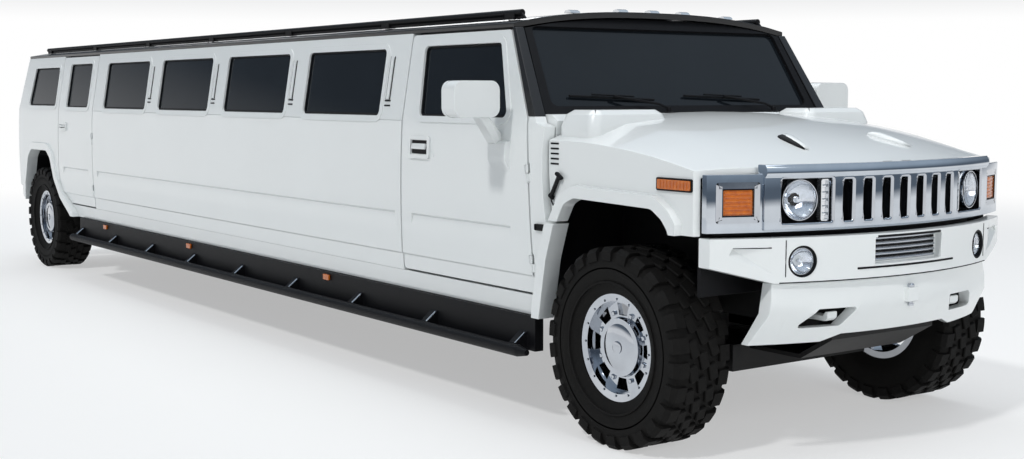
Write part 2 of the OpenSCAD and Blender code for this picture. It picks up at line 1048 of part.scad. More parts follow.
module bumper_guard() {
    color("white") {
        difference() {
            union() {
                intersection() {
                    translate([bumper_x, 0, 0])
                        rotate_extrude($fn = 256)
                            polygon([[guard_r - 60, bumper_low], [guard_r - 12, bumper_low], [guard_r, 700],
                                [guard_r, guard_break], [guard_r - 70, guard_low], [guard_r - 105, guard_low],
                                [guard_r - 60, guard_break]]);
                    along_x(fx + 300, front_end)
                        polygon([[-guard_top_half, bumper_low], [guard_top_half, bumper_low],
                            [guard_top_half + 15, guard_break], [guard_half, guard_low], [420, guard_low],
                            [330, guard_low + 30], [-330, guard_low + 30], [-420, guard_low],
                            [-guard_half, guard_low], [-guard_top_half - 15, guard_break]]);
                }
                difference() {
                    translate([front_end - 60, -34, 655])
                        cube([60, 68, 62]);
                    translate([front_end - 16, 0, 600])
                        cylinder(r = 11, h = 200);
                }
            }
            both()
                along_x(horn_x, front_end)
                    soft(10)
                        polygon([[360, 575], [573, 575], [488, 654], [295, 654]]);
        }
        both() {
            translate([horn_x + fit, rail_in, 654])
                cube([75, rail_w, 60]);
            along_y(rail_in + 10, rail_in + 70)
                polygon([[horn_x + fit, 596], [horn_x + 90, 596], [horn_x + 106, 610], [horn_x + 106, 636],
                    [horn_x + 90, 636], [horn_x + 80, 618], [horn_x + fit, 618]]);
        }
    }
}

module wheelhouses() {
    w = inner_low - fit;
    front_w = fender_half - hood_t - 12;
    color("black") {
        both()
            intersection() {
                union() {
                    along_y(house_in + house_t, w)
                        difference() {
                            offset(delta = house_t)
                                rear_arch_2d();
                            rear_arch_2d();
                        }
                    along_y(house_in, house_in + house_t)
                        offset(delta = house_t)
                            rear_arch_2d();
                }
                translate([rx - 620, 0, floor_z + fit])
                    cube([riser_x - fit - rx + 620, 1200, 600]);
            }
        both()
            difference() {
                translate([fx - 562, frame_w / 2 + 24, floor_z + rail_h + 20])
                    cube([house_l, front_w - frame_w / 2 - 24, 1100 - floor_z - rail_h - 20]);
                translate([fx - 562 + house_t, frame_w / 2 + 24 + house_t, 0])
                    cube([house_l - 2 * house_t, 1000, 1100 - house_t]);
            }
    }
}

module engine() {
    color("gray") {
        translate([fx - 420, -280, 480])
            cube([740, 560, 590]);
        translate([fx - 1000, -150, 400])
            cube([600, 300, 155]);
        translate([fx - 60, -(frame_w / 2 - rail_w), 600])
            cube([120, frame_w - 2 * rail_w, 60]);
    }
}

module driveshaft() {
    color("dimgray")
        translate([rx + 150, 0, axle_z])
            rotate([0, 90, 0])
                cylinder(r = 36, h = fx - 1000 - rx - 150);
}

module front_suspension() {
    color("dimgray") {
        translate([fx - 170, -frame_w / 2, 300])
            cube([340, frame_w, 120]);
        along_y(-skid_half, skid_half)
            polygon([[fx + 160, 395], [fx + 470, 395], [fx + 645, 500], [fx + 645, 522], [fx + 460, 413],
                [fx + 160, 413]]);
        both() {
            translate([fx - 60, frame_w / 2 - rail_w, 419])
                cube([120, rail_w, floor_z - 419]);
            translate([fx, 0, 330])
                linear_extrude(40)
                    polygon([[-130, frame_w / 2 - 10], [130, frame_w / 2 - 10],
                        [30, king_y + 28], [-30, king_y + 28]]);
            translate([fx, 0, 575])
                linear_extrude(25)
                    polygon([[-70, frame_w / 2], [70, frame_w / 2], [25, king_y + 25], [-25, king_y + 25]]);
        }
    }
}

module knuckle() {
    translate([fx, king_y, 370 + fit])
        cylinder(r = 24, h = 205 - 2 * fit);
    translate([fx, king_y, axle_z])
        rotate([-90, 0, 0])
            cylinder(r = stub_r, h = wheel_y + stub_end - king_y);
    translate([fx, wheel_y - 82, axle_z])
        rotate([-90, 0, 0])
            cylinder(r = disc_r, h = 28);
}

module rear_axle() {
    color("dimgray") {
        translate([rx, -wheel_y - stub_end, axle_z])
            rotate([-90, 0, 0])
                cylinder(r = stub_r, h = 2 * (wheel_y + stub_end));
        translate([rx, -wheel_y + 60, axle_z])
            rotate([-90, 0, 0])
                cylinder(r = 48, h = 2 * (wheel_y - 60));
        translate([rx, 0, axle_z])
            sphere(r = 140);
        translate([rx, 0, axle_z])
            rotate([0, 90, 0])
                cylinder(r = 60, h = 150);
        both() {
            translate([rx, wheel_y - 82, axle_z])
                rotate([-90, 0, 0])
                    cylinder(r = disc_r, h = 28);
            translate([rx, frame_w / 2 - rail_w / 2, axle_z])
                cylinder(r = 58, h = floor_z - axle_z);
        }
    }
}

module running_boards() {
    x1 = rx + 900;
    x2 = fx - 575;
    bracket_l = 60;
    color("black")
        both() {
            translate([x1, board_y + fit, step_z])
                cube([x2 - x1, 50 - fit, sill_bottom - fit - step_z]);
            translate([x1 + 30, half_w + step_out, step_z + 10])
                rotate([0, 90, 0])
                    cylinder(r = step_r, h = x2 - x1 - 60);
            translate([x2 - 30, half_w + step_out, step_z + 10])
                rotate([0, 90, 0])
                    cylinder(r1 = step_r, r2 = step_r / 2, h = 70);
            translate([x1 + 60, half_w - 20, step_z])
                cube([x2 - x1 - 120, step_out, 14]);
            for (i = [0:step_brackets - 1])
                translate([x1 + 60 + (x2 - x1 - 120 - bracket_l) * i / (step_brackets - 1), half_w, step_z])
                    along_x(0, bracket_l)
                        polygon([[-20, 0], [-20, 92], [-10, 88], [step_out, 30], [step_out, 0]]);
        }
}

// Height of the hood's surface: low edge of the shoulder, its top edge, and the middle line
function hood_low(x) = 1325 - pow(x + 420, 2) / 8000;
function hood_up(x) = 1405 - pow(x + 450, 2) / 6140;
function hood_mid(x) = 1447 - pow(x + 500, 2) / 6900;
shoulder_y = 735;
crown_steps = 4;
function hood_half(x, d) = concat(
    [[x, d - fender_half, hood_low(x) - d]],
    [for (i = [0:crown_steps]) let (y = shoulder_y * (1 - i / crown_steps), u = y / shoulder_y)
        [x, -y, hood_up(x) + (hood_mid(x) - hood_up(x)) * (1 - u * u) - d]]);
function hood_loop(x, d, low) = let (h = hood_half(x, d), n = len(h)) concat(
    [[x, d - fender_half, low]], h,
    [for (i = [n - 2:-1:0]) [x, -h[i][1], h[i][2]]],
    [[x, fender_half - d, low]]);
hood_steps = 10;

module hood_block(x1, x2, d, low) {
    loops = [for (k = [0:hood_steps]) hood_loop(x1 + (x2 - x1) * k / hood_steps, d, low)];
    m = len(loops[0]);
    points = [for (l = loops) for (p = l) [p[0] + fx, p[1], p[2]]];
    skin = [for (k = [0:hood_steps - 1]) for (i = [0:m - 1]) let (j = (i + 1) % m)
        for (t = [[k * m + i, k * m + j, k * m + m + i], [k * m + j, k * m + m + j, k * m + m + i]]) t];
    caps = concat([for (i = [1:m - 2]) [0, i + 1, i]],
        [for (i = [1:m - 2]) [hood_steps * m, hood_steps * m + i, hood_steps * m + i + 1]]);
    polyhedron(points = points, faces = concat(skin, caps));
}

// Raised box at each rear corner of the hood
module hood_bulge() {
    translate([hood_rear + 140, shoulder_y - 45, cowl_top - 110])
        hull() {
            linear_extrude(60)
                soft(50)
                    square([264, 470], center = true);
            linear_extrude(112)
                soft(50)
                    square([234, 430], center = true);
            linear_extrude(132)
                soft(30)
                    square([176, 366], center = true);
        }
}

module hood() {
    color("white") {
        difference() {
            intersection() {
                union() {
                    difference() {
                        hood_block(hood_rear - fx, 700, 0, hood_bottom);
                        hood_block(hood_rear - fx - 40, 740, hood_t, hood_bottom - 60);
                    }
                    both()
                        hood_bulge();
                    both()
                        intersection() {
                            along_y(fender_half - hood_t + 2, half_w + 6)
                                difference() {
                                    offset(delta = lip_w - 8)
                                        front_arch_2d();
                                    front_arch_2d();
                                }
                            translate([hood_rear, 0, hood_bottom])
                                cube([900, 2 * half_w, 400]);
                        }
                }
                translate([nose_x, 0, 0])
                    cylinder(r = hood_edge_r, h = wall_top, $fn = 256);
                hood_sweep(0);
            }
            along_y(-side_out, side_out)
                front_arch_2d();
        }
        translate([hood_hinge_x, -30, hood_hinge_z])
            rotate([-90, 0, 0])
                cylinder(r = hinge_r, h = 60);
        translate([hood_hinge_x - 30, -30, hood_hinge_z - hinge_r])
            cube([30, 60, hinge_r]);
    }
}

module mirror_body() {
    along_x(mirror_x - 55, mirror_x + 55)
        soft(45)
            translate([half_w + 70, mirror_z])
                square([mirror_w, mirror_h]);
    hull() {
        translate([mirror_x - 35, half_w + 115, mirror_z])
            cube([60, 50, 8]);
        translate([mirror_x - 115, half_w - 8, foot_z + 60])
            cube([70, 36, 45]);
    }
    along_x(mirror_x - 120, mirror_x + 25)
        polygon([[half_w - 15, foot_z - 70], [half_w - 15, foot_z + 72], [half_w + 12, foot_z + 72],
            [half_w + 24, foot_z + 60], [half_w + 24, foot_z - 15], [half_w - 5, foot_z - 70]]);
}

module door_front() {
    color("white") {
        difference() {
            intersection() {
                along_x(b_x - 10, df_x + 10)
                    wall_2d();
                along_y(side_in, side_out)
                    front_door_2d();
            }
            along_y(side_in, side_out)
                front_window_2d(0);
            crease(b_x + 100, df_x - 180);
            at_front_hinge()
                barrel_room(1, door_levels);
        }
        at_front_hinge()
            barrels(-1, door_levels);
        mirror_body();
    }
}

module door_rear() {
    color("white") {
        difference() {
            intersection() {
                along_x(c_x - 10, dr_x + 10)
                    wall_2d();
                along_y(side_in, side_out)
                    rear_door_2d();
            }
            along_y(side_in, side_out)
                rear_window_2d(0);
            crease(c_x + 120, dr_x - 105);
            at_rear_hinge()
                barrel_room(1, door_levels);
        }
        at_rear_hinge()
            barrels(-1, door_levels);
    }
}

module door_glass_front() {
    color("darkslategray")
        intersection() {
            along_x(b_x, df_x)
                glass_2d(14);
            along_y(side_in, side_out)
                front_window_2d(fit);
        }
}

module door_glass_rear() {
    color("darkslategray")
        intersection() {
            along_x(c_x, dr_x)
                glass_2d(14);
            along_y(side_in, side_out)
                rear_window_2d(fit);
        }
}

// Wheel pieces about their own axis along Y, outer side towards +Y
module spun() {
    rotate([-90, 0, 0])
        rotate_extrude($fn = 96)
            children();
}

module tyre() {
    h = tyre_w / 2;
    b = rim_w / 2 - 11;
    tread = tyre_r - lug_h;
    half = [[seat_r + fit, b - 14], [seat_r + fit, b], [rim_r + 2, b], [rim_r + 2, b + 16],
        [rim_r + 60, h - 14], [rim_r + 110, h - 8], [tyre_r - 50, h - 8], [tyre_r - 24, h - 18],
        [tread, h - 40]];
    inside = [[tyre_r - 28, h - 50], [tyre_r - 52, h - 28], [rim_r + 80, h - 26], [rim_r + 10, b - 6]];
    lug = [[tyre_r - 62, h - 12], [tyre_r - 58, h], [tyre_r - 20, h], [tyre_r, h - 20], [tyre_r, h - 72],
        [tread - 4, h - 72], [tread - 4, h - 42], [tyre_r - 28, h - 22]];
    color("black") {
        spun()
            polygon(concat(half, [for (i = [len(half) - 1:-1:0]) [half[i][0], -half[i][1]]],
                [for (i = [len(inside) - 1:-1:0]) [inside[i][0], -inside[i][1]]], inside));
        for (s = [0, 1])
            mirror([0, s, 0])
                for (i = [0:lug_count - 1])
                    rotate([-90, 0, 0])
                        rotate([0, 0, 360 / lug_count * (i + s / 2)])
                            rotate_extrude(angle = lug_angle, $fn = 96)
                                polygon(lug);
    }
}

module rim() {
    h = rim_w / 2;
    color("silver")
        difference() {
            spun()
                polygon([[0, 56], [stub_r + fit, 56], [stub_r + fit, 0], [75, 0], [75, 50], [seat_r - 14, 50],
                    [seat_r - 14, 20], [seat_r - 14, -h], [rim_r, -h], [rim_r, 11 - h - fit],
                    [seat_r, 11 - h - fit],
                    [seat_r, h - 11 + fit], [rim_r, h - 11 + fit], [rim_r, h], [seat_r - 14, h - 6],
                    [seat_r - 16, 74], [132, 74], [126, 96], [0, 96]]);
            for (i = [0:rim_windows - 1])
                rotate([-90, 360 / rim_windows * i, 0])
                    translate([0, 0, 40])
                        linear_extrude(50)
                            polygon([[137, -25], [137, 25], [190, 40], [190, -40]]);
        }
}

module place_wheel(x, side) {
    translate([x, 0, axle_z])
        mirror([0, side < 0 ? 1 : 0, 0])
            translate([0, wheel_y, 0])
                children();
}

module right() {
    mirror([0, 1, 0])
        children();
}

module door_front_right() { right() door_front(); }
module door_front_left() { door_front(); }
module door_rear_right() { right() door_rear(); }
module door_rear_left() { door_rear(); }
module door_glass_front_right() { right() door_glass_front(); }
module door_glass_front_left() { door_glass_front(); }
module door_glass_rear_right() { right() door_glass_rear(); }
module door_glass_rear_left() { door_glass_rear(); }
module knuckle_right() { color("dimgray") right() knuckle(); }
module knuckle_left() { color("dimgray") knuckle(); }
module rim_front_right() { place_wheel(fx, -1) rim(); }
module rim_front_left() { place_wheel(fx, 1) rim(); }
module rim_rear_right() { place_wheel(rx, -1) rim(); }
module rim_rear_left() { place_wheel(rx, 1) rim(); }
module tyre_front_right() { place_wheel(fx, -1) tyre(); }
module tyre_front_left() { place_wheel(fx, 1) tyre(); }
module tyre_rear_right() { place_wheel(rx, -1) tyre(); }
module tyre_rear_left() { place_wheel(rx, 1) tyre(); }

frame_front();
frame_rails();
frame_rear();
crossmembers();
outriggers();
floor();
roof();
roof_rails();
roof_lamps();
amber_lamps();
cowl();
windshield_frame();
windshield();
front_pillars();
a_pillars();
sills();
side_panels();
window_bands();
quarter_panels();
side_glass();
rear_frame();
tail_lamps();
rear_bumper();
front_bumper();
bumper_guard();
front_lamps();
core_support();
grille();
wheelhouses();
engine();
driveshaft();
front_suspension();
rear_axle();
running_boards();
hood();
tailgate();
tailgate_glass();
door_front_right();
door_front_left();
door_rear_right();
door_rear_left();
door_glass_front_right();
door_glass_front_left();
door_glass_rear_right();
door_glass_rear_left();
knuckle_right();
knuckle_left();
rim_front_right();
rim_front_left();
rim_rear_right();
rim_rear_left();
tyre_front_right();
tyre_front_left();
tyre_rear_right();
tyre_rear_left();
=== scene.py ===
# %% [markdown]
# # A stretch limousine, dressed over its construction model
# The construction model holds every panel, wheel and hinge at its real size.
# This script gives those solids their finishes and adds the small fittings that a maker bolts on last:
# handles, latches, wipers, lamp bowls, window seals and tyre tread.
# Each fitting is parented to an empty named after the body that carries it.

import json
import math

import bmesh
import bpy
from mathutils import Matrix, Vector
from mathutils.bvhtree import BVHTree


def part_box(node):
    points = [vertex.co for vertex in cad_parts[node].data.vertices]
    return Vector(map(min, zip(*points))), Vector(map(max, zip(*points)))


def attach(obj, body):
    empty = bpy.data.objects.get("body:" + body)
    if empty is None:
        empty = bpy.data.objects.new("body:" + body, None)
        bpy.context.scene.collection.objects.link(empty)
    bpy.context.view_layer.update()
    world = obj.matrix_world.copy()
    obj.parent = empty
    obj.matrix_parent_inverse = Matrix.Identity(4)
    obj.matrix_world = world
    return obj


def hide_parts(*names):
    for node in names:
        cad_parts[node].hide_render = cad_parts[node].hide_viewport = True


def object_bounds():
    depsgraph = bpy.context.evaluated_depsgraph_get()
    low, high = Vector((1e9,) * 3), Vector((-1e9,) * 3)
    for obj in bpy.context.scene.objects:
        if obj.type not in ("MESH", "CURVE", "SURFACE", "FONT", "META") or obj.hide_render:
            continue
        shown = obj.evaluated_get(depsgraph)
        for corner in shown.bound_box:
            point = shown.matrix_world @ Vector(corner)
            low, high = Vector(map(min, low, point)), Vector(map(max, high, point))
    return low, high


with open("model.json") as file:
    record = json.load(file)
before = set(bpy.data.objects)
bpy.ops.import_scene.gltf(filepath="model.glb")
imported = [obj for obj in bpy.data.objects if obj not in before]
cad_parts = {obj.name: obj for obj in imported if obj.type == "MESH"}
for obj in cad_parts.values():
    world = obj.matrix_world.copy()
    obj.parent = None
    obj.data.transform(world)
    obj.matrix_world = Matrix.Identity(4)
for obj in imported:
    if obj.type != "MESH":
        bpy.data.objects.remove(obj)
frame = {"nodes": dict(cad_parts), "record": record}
cad_low, cad_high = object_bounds()
nodes = frame["nodes"]

# %% [markdown]
# The axles and the tyre's size are read from the boxes of the tyres.
# Most smaller places are measured on the photograph, given from an axle, and set on the panels by rays.
# The right side, towards -Y, is the pattern for every fitting, and the left side is its mirror image.

# %% Named places
tyre_low, tyre_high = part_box("tyre_front_right")
FRONT_X = (tyre_low.x + tyre_high.x) / 2
AXLE_Z = (tyre_low.z + tyre_high.z) / 2
TYRE_R = (tyre_high.z - tyre_low.z) / 2
WHEEL_Y = -(tyre_low.y + tyre_high.y) / 2
TYRE_HALF = (tyre_high.y - tyre_low.y) / 2
rear_low, rear_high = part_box("tyre_rear_right")
REAR_X = (rear_low.x + rear_high.x) / 2
AXLES = {"front": FRONT_X, "rear": REAR_X}
SIDES = {"right": 1, "left": -1}
print("front axle", round(FRONT_X, 3), "rear axle", round(REAR_X, 3), "tyre", round(TYRE_R, 3))

# %% [markdown]
# ## Camera
# The photograph was taken at about eye height, ahead of the front wheel and well to the right.
# Its place and lens were worked out from the wheels, the belt line and the grille,
# so that a point of the model falls on the same point of the picture.

# %% Camera
CAMERA_FROM_AXLE = Vector((4.585, -4.799, 1.5355))
CAMERA_YAW = math.radians(35.51)
CAMERA_PITCH = math.radians(5.575)
CAMERA_LENS = 48.99

scene = bpy.context.scene
camera_data = bpy.data.cameras.new("camera")
camera_data.sensor_width = 36
camera_data.lens = CAMERA_LENS
camera_data.clip_end = 200
camera = bpy.data.objects.new("camera", camera_data)
scene.collection.objects.link(camera)
camera.location = CAMERA_FROM_AXLE + Vector((FRONT_X, 0, 0))
looking = Vector((
    -math.cos(CAMERA_YAW) * math.cos(CAMERA_PITCH),
    math.sin(CAMERA_YAW) * math.cos(CAMERA_PITCH),
    -math.sin(CAMERA_PITCH)))
camera.rotation_euler = looking.to_track_quat("-Z", "Y").to_euler()
scene.camera = camera
print("camera at", [round(v, 3) for v in camera.location])

# %% [markdown]
# ## Shader nodes
# Sky, floor and finishes are all small networks of shader nodes.
# These helpers make a node, set its numbers and link what feeds it, so that each network stays short.

# %% Node helpers
def set_sockets(node, values):
    for socket, value in values.items():
        node.inputs[socket].default_value = value


def add_node(tree, kind, values={}, links={}):
    made = tree.nodes.new(f"ShaderNode{kind}")
    set_sockets(made, values)
    for socket, source in links.items():
        tree.links.new(source, made.inputs[socket])
    return made


def add_math(tree, operation, *terms):
    """One sum; each term is a number or the socket that gives it."""
    made = tree.nodes.new("ShaderNodeMath")
    made.operation = operation
    for slot, term in enumerate(terms):
        if isinstance(term, float):
            made.inputs[slot].default_value = term
        else:
            tree.links.new(term, made.inputs[slot])
    return made.outputs[0]


def new_material(name):
    """A material with its node tree, its shader and the socket of the Object coordinates."""
    material = bpy.data.materials.new(name)
    material.use_nodes = True
    tree = material.node_tree
    return material, tree, tree.nodes["Principled BSDF"], add_node(tree, "TexCoord").outputs["Object"]


def raise_surface(tree, shader, height, strength, distance):
    relief = add_node(tree, "Bump", {"Strength": strength, "Distance": distance}, {"Height": height})
    tree.links.new(relief.outputs["Normal"], shader.inputs["Normal"])


def seen_directly(tree):
    """One for camera, mirror and glass rays, nought for the soft light between surfaces."""
    path = add_node(tree, "LightPath")
    total = path.outputs["Is Camera Ray"]
    for kind in ("Is Glossy Ray", "Is Transmission Ray"):
        total = add_math(tree, "MAXIMUM", total, path.outputs[kind])
    return total


print("node helpers ready")

# %% [markdown]
# ## Light and floor
# Gloss paint and chrome show what stands round them, so the studio is a pale room:
# an even key light high on the camera's side, one wide lamp overhead, one at the front and a weak one behind.
# The sky is white at the horizon, slate above it and a pale haze overhead, so chrome has something to show.
# The camera, mirrors and glass see it at full strength; for soft light on the paint it is turned down.
# The front lamp is kept out of reflections, where it would be a hard white square on the chrome nose.

# %% Studio
SKY_LIGHT = 0.60
KEY_LIGHT, KEY_ANGLE, KEY_DIRECTION = 1.25, math.radians(5), Vector((-0.22, 0.86, -1.0))
WHITE, SLATE = (1, 1, 1, 1), (0.13, 0.16, 0.20, 1)
HAZE, BRIGHT = (0.40, 0.48, 0.57, 1), (0.62, 0.70, 0.78, 1)
SKY_STOPS = ((0.05, WHITE), (0.15, SLATE), (0.26, SLATE), (0.55, HAZE), (1.0, BRIGHT))


def area_lamp(name, place, aim, size, watts):
    data = bpy.data.lights.new(name, "AREA")
    data.shape = "RECTANGLE"
    data.size, data.size_y = size
    data.energy = watts
    lamp = bpy.data.objects.new(name, data)
    scene.collection.objects.link(lamp)
    lamp.location = place
    lamp.rotation_euler = (Vector(aim) - Vector(place)).to_track_quat("-Z", "Y").to_euler()
    return lamp


def pale_sky(world):
    world.use_nodes = True
    tree = world.node_tree
    tree.nodes.clear()
    direction = add_node(tree, "TexCoord")
    height = add_node(tree, "SeparateXYZ", links={0: direction.outputs["Generated"]})
    tint = add_node(tree, "ValToRGB", links={"Fac": height.outputs["Z"]})
    ramp = tint.color_ramp.elements
    while len(ramp) < len(SKY_STOPS):
        ramp.new(0.5)
    for stop, (place, colour) in zip(ramp, SKY_STOPS):
        stop.position = place
        stop.color = colour
    strength = add_node(tree, "MapRange", {"To Min": SKY_LIGHT, "To Max": 1.0},
                        {"Value": seen_directly(tree)})
    sky = add_node(tree, "Background", links={
        "Color": tint.outputs["Color"], "Strength": strength.outputs["Result"]})
    add_node(tree, "OutputWorld", links={"Surface": sky.outputs[0]})


scene.view_settings.view_transform = "Standard"
scene.world = bpy.data.worlds.new("studio")
pale_sky(scene.world)
key = bpy.data.objects.new("lamp_key", bpy.data.lights.new("lamp_key", "SUN"))
key.data.energy = KEY_LIGHT
key.data.angle = KEY_ANGLE
key.rotation_euler = KEY_DIRECTION.to_track_quat("-Z", "Y").to_euler()
scene.collection.objects.link(key)
area_lamp("lamp_overhead", (FRONT_X - 3.0, 0.5, 8.0), (FRONT_X - 3.0, 0.5, 0), (12, 5), 270)
front_lamp = area_lamp("lamp_front", (FRONT_X + 8.0, -1.0, 4.0), (FRONT_X, 0, 0.9), (5, 3), 200)
front_lamp.visible_glossy = False
area_lamp("lamp_behind", (REAR_X - 6.0, 5.0, 5.0), (REAR_X, 0, 1.0), (6, 3), 200)
print("lamps ready")

# %% [markdown]
# The floor is one large grid. Near the car it is a plain pale surface that takes the shadow, lifted a little
# towards white for the camera, and far off it turns into the white background, so no horizon line shows.

# %% Floor
FLOOR_NEAR, FLOOR_FAR, FLOOR_WHITE, FLOOR_SIZE = 7.0, 15.0, 0.45, 80
floor_shape = bmesh.new()
bmesh.ops.create_grid(floor_shape, x_segments=1, y_segments=1, size=FLOOR_SIZE)
floor_data = bpy.data.meshes.new("studio_floor")
floor_shape.to_mesh(floor_data)
floor_shape.free()
studio_floor = bpy.data.objects.new("studio_floor", floor_data)
scene.collection.objects.link(studio_floor)


def pale_floor():
    material, tree, shader, place = new_material("pale_floor")
    set_sockets(shader, {"Base Color": (0.90, 0.90, 0.89, 1), "Roughness": 0.75, "Specular IOR Level": 0.2})
    distance = add_node(tree, "VectorMath", links={0: place})
    distance.operation = "LENGTH"
    fade = add_node(tree, "MapRange", {"From Min": FLOOR_NEAR, "From Max": FLOOR_FAR, "To Min": FLOOR_WHITE},
                    {"Value": distance.outputs["Value"]})
    fade.interpolation_type = "SMOOTHSTEP"
    share = add_math(tree, "MULTIPLY", fade.outputs["Result"], seen_directly(tree))
    white = add_node(tree, "Emission")
    blend = add_node(tree, "MixShader", links={"Fac": share, 1: shader.outputs[0], 2: white.outputs[0]})
    tree.links.new(blend.outputs[0], tree.nodes["Material Output"].inputs["Surface"])
    return material


studio_floor.data.materials.append(pale_floor())
print("floor ready")

# %% [markdown]
# ## Finishes
# Each finish is a shader with a little variation in it, because no real surface is one flat colour.
# A noise on Object coordinates changes colour and roughness slightly, and a fine bump breaks the shine.
# One function makes the pattern and each finish gives its own colours and gloss.
# The plated nose also has a crown: its shine tilts up above a height and down below it, as on pressed plate.

# %% Finish maker
COAT_ROUGH, SMOOTHEST, GRAIN_DEPTH = 0.04, 0.02, 0.002


def crown_height(tree, place, middle, curve):
    up = add_node(tree, "SeparateXYZ", links={"Vector": place}).outputs["Z"]
    above = add_math(tree, "SUBTRACT", up, middle)
    return add_math(tree, "MULTIPLY", add_math(tree, "MULTIPLY", above, above), -curve)


def finish(name, dark, light, rough, scale, metal=0.0, coat=0.0, bump=0.0, bump_scale=200.0,
           rough_swing=0.06, shine=0.5, crown=None):
    material, tree, shader, place = new_material(name)
    set_sockets(shader, {"Metallic": metal, "Coat Weight": coat, "Coat Roughness": COAT_ROUGH,
                         "Specular IOR Level": shine})
    noise = add_node(tree, "TexNoise", {"Scale": scale, "Detail": 4}, {"Vector": place}).outputs["Fac"]
    colour = add_node(tree, "Mix")
    colour.data_type = "RGBA"
    set_sockets(colour, {"A": (*dark, 1), "B": (*light, 1)})
    tree.links.new(noise, colour.inputs["Factor"])
    tree.links.new(colour.outputs["Result"], shader.inputs["Base Color"])
    gloss = add_node(tree, "MapRange", {
        "To Min": max(SMOOTHEST, rough - rough_swing), "To Max": rough + rough_swing}, {"Value": noise})
    tree.links.new(gloss.outputs["Result"], shader.inputs["Roughness"])
    if bump:
        grain = add_node(tree, "TexNoise", {"Scale": bump_scale}, {"Vector": place})
        raise_surface(tree, shader, grain.outputs["Fac"], bump, GRAIN_DEPTH)
    if crown:
        raise_surface(tree, shader, crown_height(tree, place, *crown), 1.0, 1.0)
    return material


FINISHES = {
    "paint_white": finish("white_paint", (0.77, 0.79, 0.78), (0.82, 0.84, 0.83), 0.33, 1.5, coat=0.7,
                          rough_swing=0.05),
    "roof_black": finish("black_paint", (0.006, 0.006, 0.007), (0.012, 0.012, 0.013), 0.34, 3.0, coat=0.3,
                         shine=0.3),
    "black_trim": finish("black_plastic", (0.003, 0.003, 0.004), (0.008, 0.008, 0.009), 0.50, 30.0,
                         bump=0.25, bump_scale=900.0, shine=0.15),
    "glass_dark": finish("limousine_glass", (0.005, 0.007, 0.009), (0.011, 0.014, 0.018), 0.06, 2.0,
                         rough_swing=0.03, shine=0.30),
    "chrome": finish("chrome_plate", (0.44, 0.46, 0.50), (0.57, 0.60, 0.64), 0.07, 12.0, metal=1.0,
                     rough_swing=0.04),
    "tyre": finish("tyre_rubber", (0.004, 0.004, 0.004), (0.012, 0.011, 0.010), 0.70, 40.0,
                   bump=0.4, bump_scale=500.0, shine=0.12),
    "lamp_clear": finish("lamp_bowl", (0.62, 0.64, 0.66), (0.85, 0.87, 0.90), 0.10, 60.0, metal=0.9),
    "lamp_amber": finish("amber_lens", (0.34, 0.045, 0.002), (0.74, 0.20, 0.005), 0.15, 45.0, coat=0.3,
                         bump=0.3, bump_scale=300.0),
    "lamp_red": finish("red_lens", (0.30, 0.008, 0.008), (0.55, 0.02, 0.015), 0.15, 45.0, coat=1.0,
                       bump=0.3, bump_scale=300.0),
    "chassis": finish("frame_iron", (0.010, 0.010, 0.011), (0.028, 0.027, 0.026), 0.60, 9.0, metal=0.3,
                      bump=0.2, bump_scale=250.0, shine=0.3),
    "floor_grey": finish("floor_carpet", (0.020, 0.020, 0.022), (0.045, 0.045, 0.048), 0.9, 80.0,
                         bump=0.6, bump_scale=700.0, shine=0.2),
}
NOSE_MIDDLE, NOSE_CURVE = 1.03, 0.80
NOSE_PLATE = finish("nose_plate", (0.46, 0.50, 0.55), (0.62, 0.66, 0.71), 0.07, 7.0, metal=1.0,
                    rough_swing=0.03, crown=(NOSE_MIDDLE, NOSE_CURVE))
print("finishes", len(FINISHES))

# %% [markdown]
# ## Light on edges
# The solids come in as loose triangles, so a round face would show its facets.
# A Weld modifier joins the triangles, a small node group shades every edge under thirty-two degrees smooth,
# and a narrow Bevel on panels and trim catches the light along their edges as pressed steel does.

# %% Smooth shading for solids
SMOOTH_LIMIT, FLAT_LIMIT, BEVEL_LIMIT = math.radians(32), math.radians(0.6), math.radians(30)
JOIN, SPIN_JOIN = 0.00002, 0.00001


def shading_group():
    group = bpy.data.node_groups.new("shade_by_angle", "GeometryNodeTree")
    for way in ("INPUT", "OUTPUT"):
        group.interface.new_socket("Geometry", in_out=way, socket_type="NodeSocketGeometry")
    start, end, faces, edges, angle, sharp = [group.nodes.new(kind) for kind in (
        "NodeGroupInput", "NodeGroupOutput", "GeometryNodeSetShadeSmooth", "GeometryNodeSetShadeSmooth",
        "GeometryNodeInputMeshEdgeAngle", "FunctionNodeCompare")]
    edges.domain = "EDGE"
    edges.inputs["Shade Smooth"].default_value = False
    sharp.data_type = "FLOAT"
    sharp.operation = "GREATER_THAN"
    sharp.inputs["B"].default_value = SMOOTH_LIMIT
    group.links.new(start.outputs[0], faces.inputs["Geometry"])
    group.links.new(faces.outputs["Geometry"], edges.inputs["Geometry"])
    group.links.new(angle.outputs["Unsigned Angle"], sharp.inputs["A"])
    group.links.new(sharp.outputs["Result"], edges.inputs["Selection"])
    group.links.new(edges.outputs["Geometry"], end.inputs[0])
    return group


SHADE_BY_ANGLE = shading_group()


def modify(obj, name, kind, **settings):
    made = obj.modifiers.new(name, kind)
    for setting, value in settings.items():
        setattr(made, setting, value)


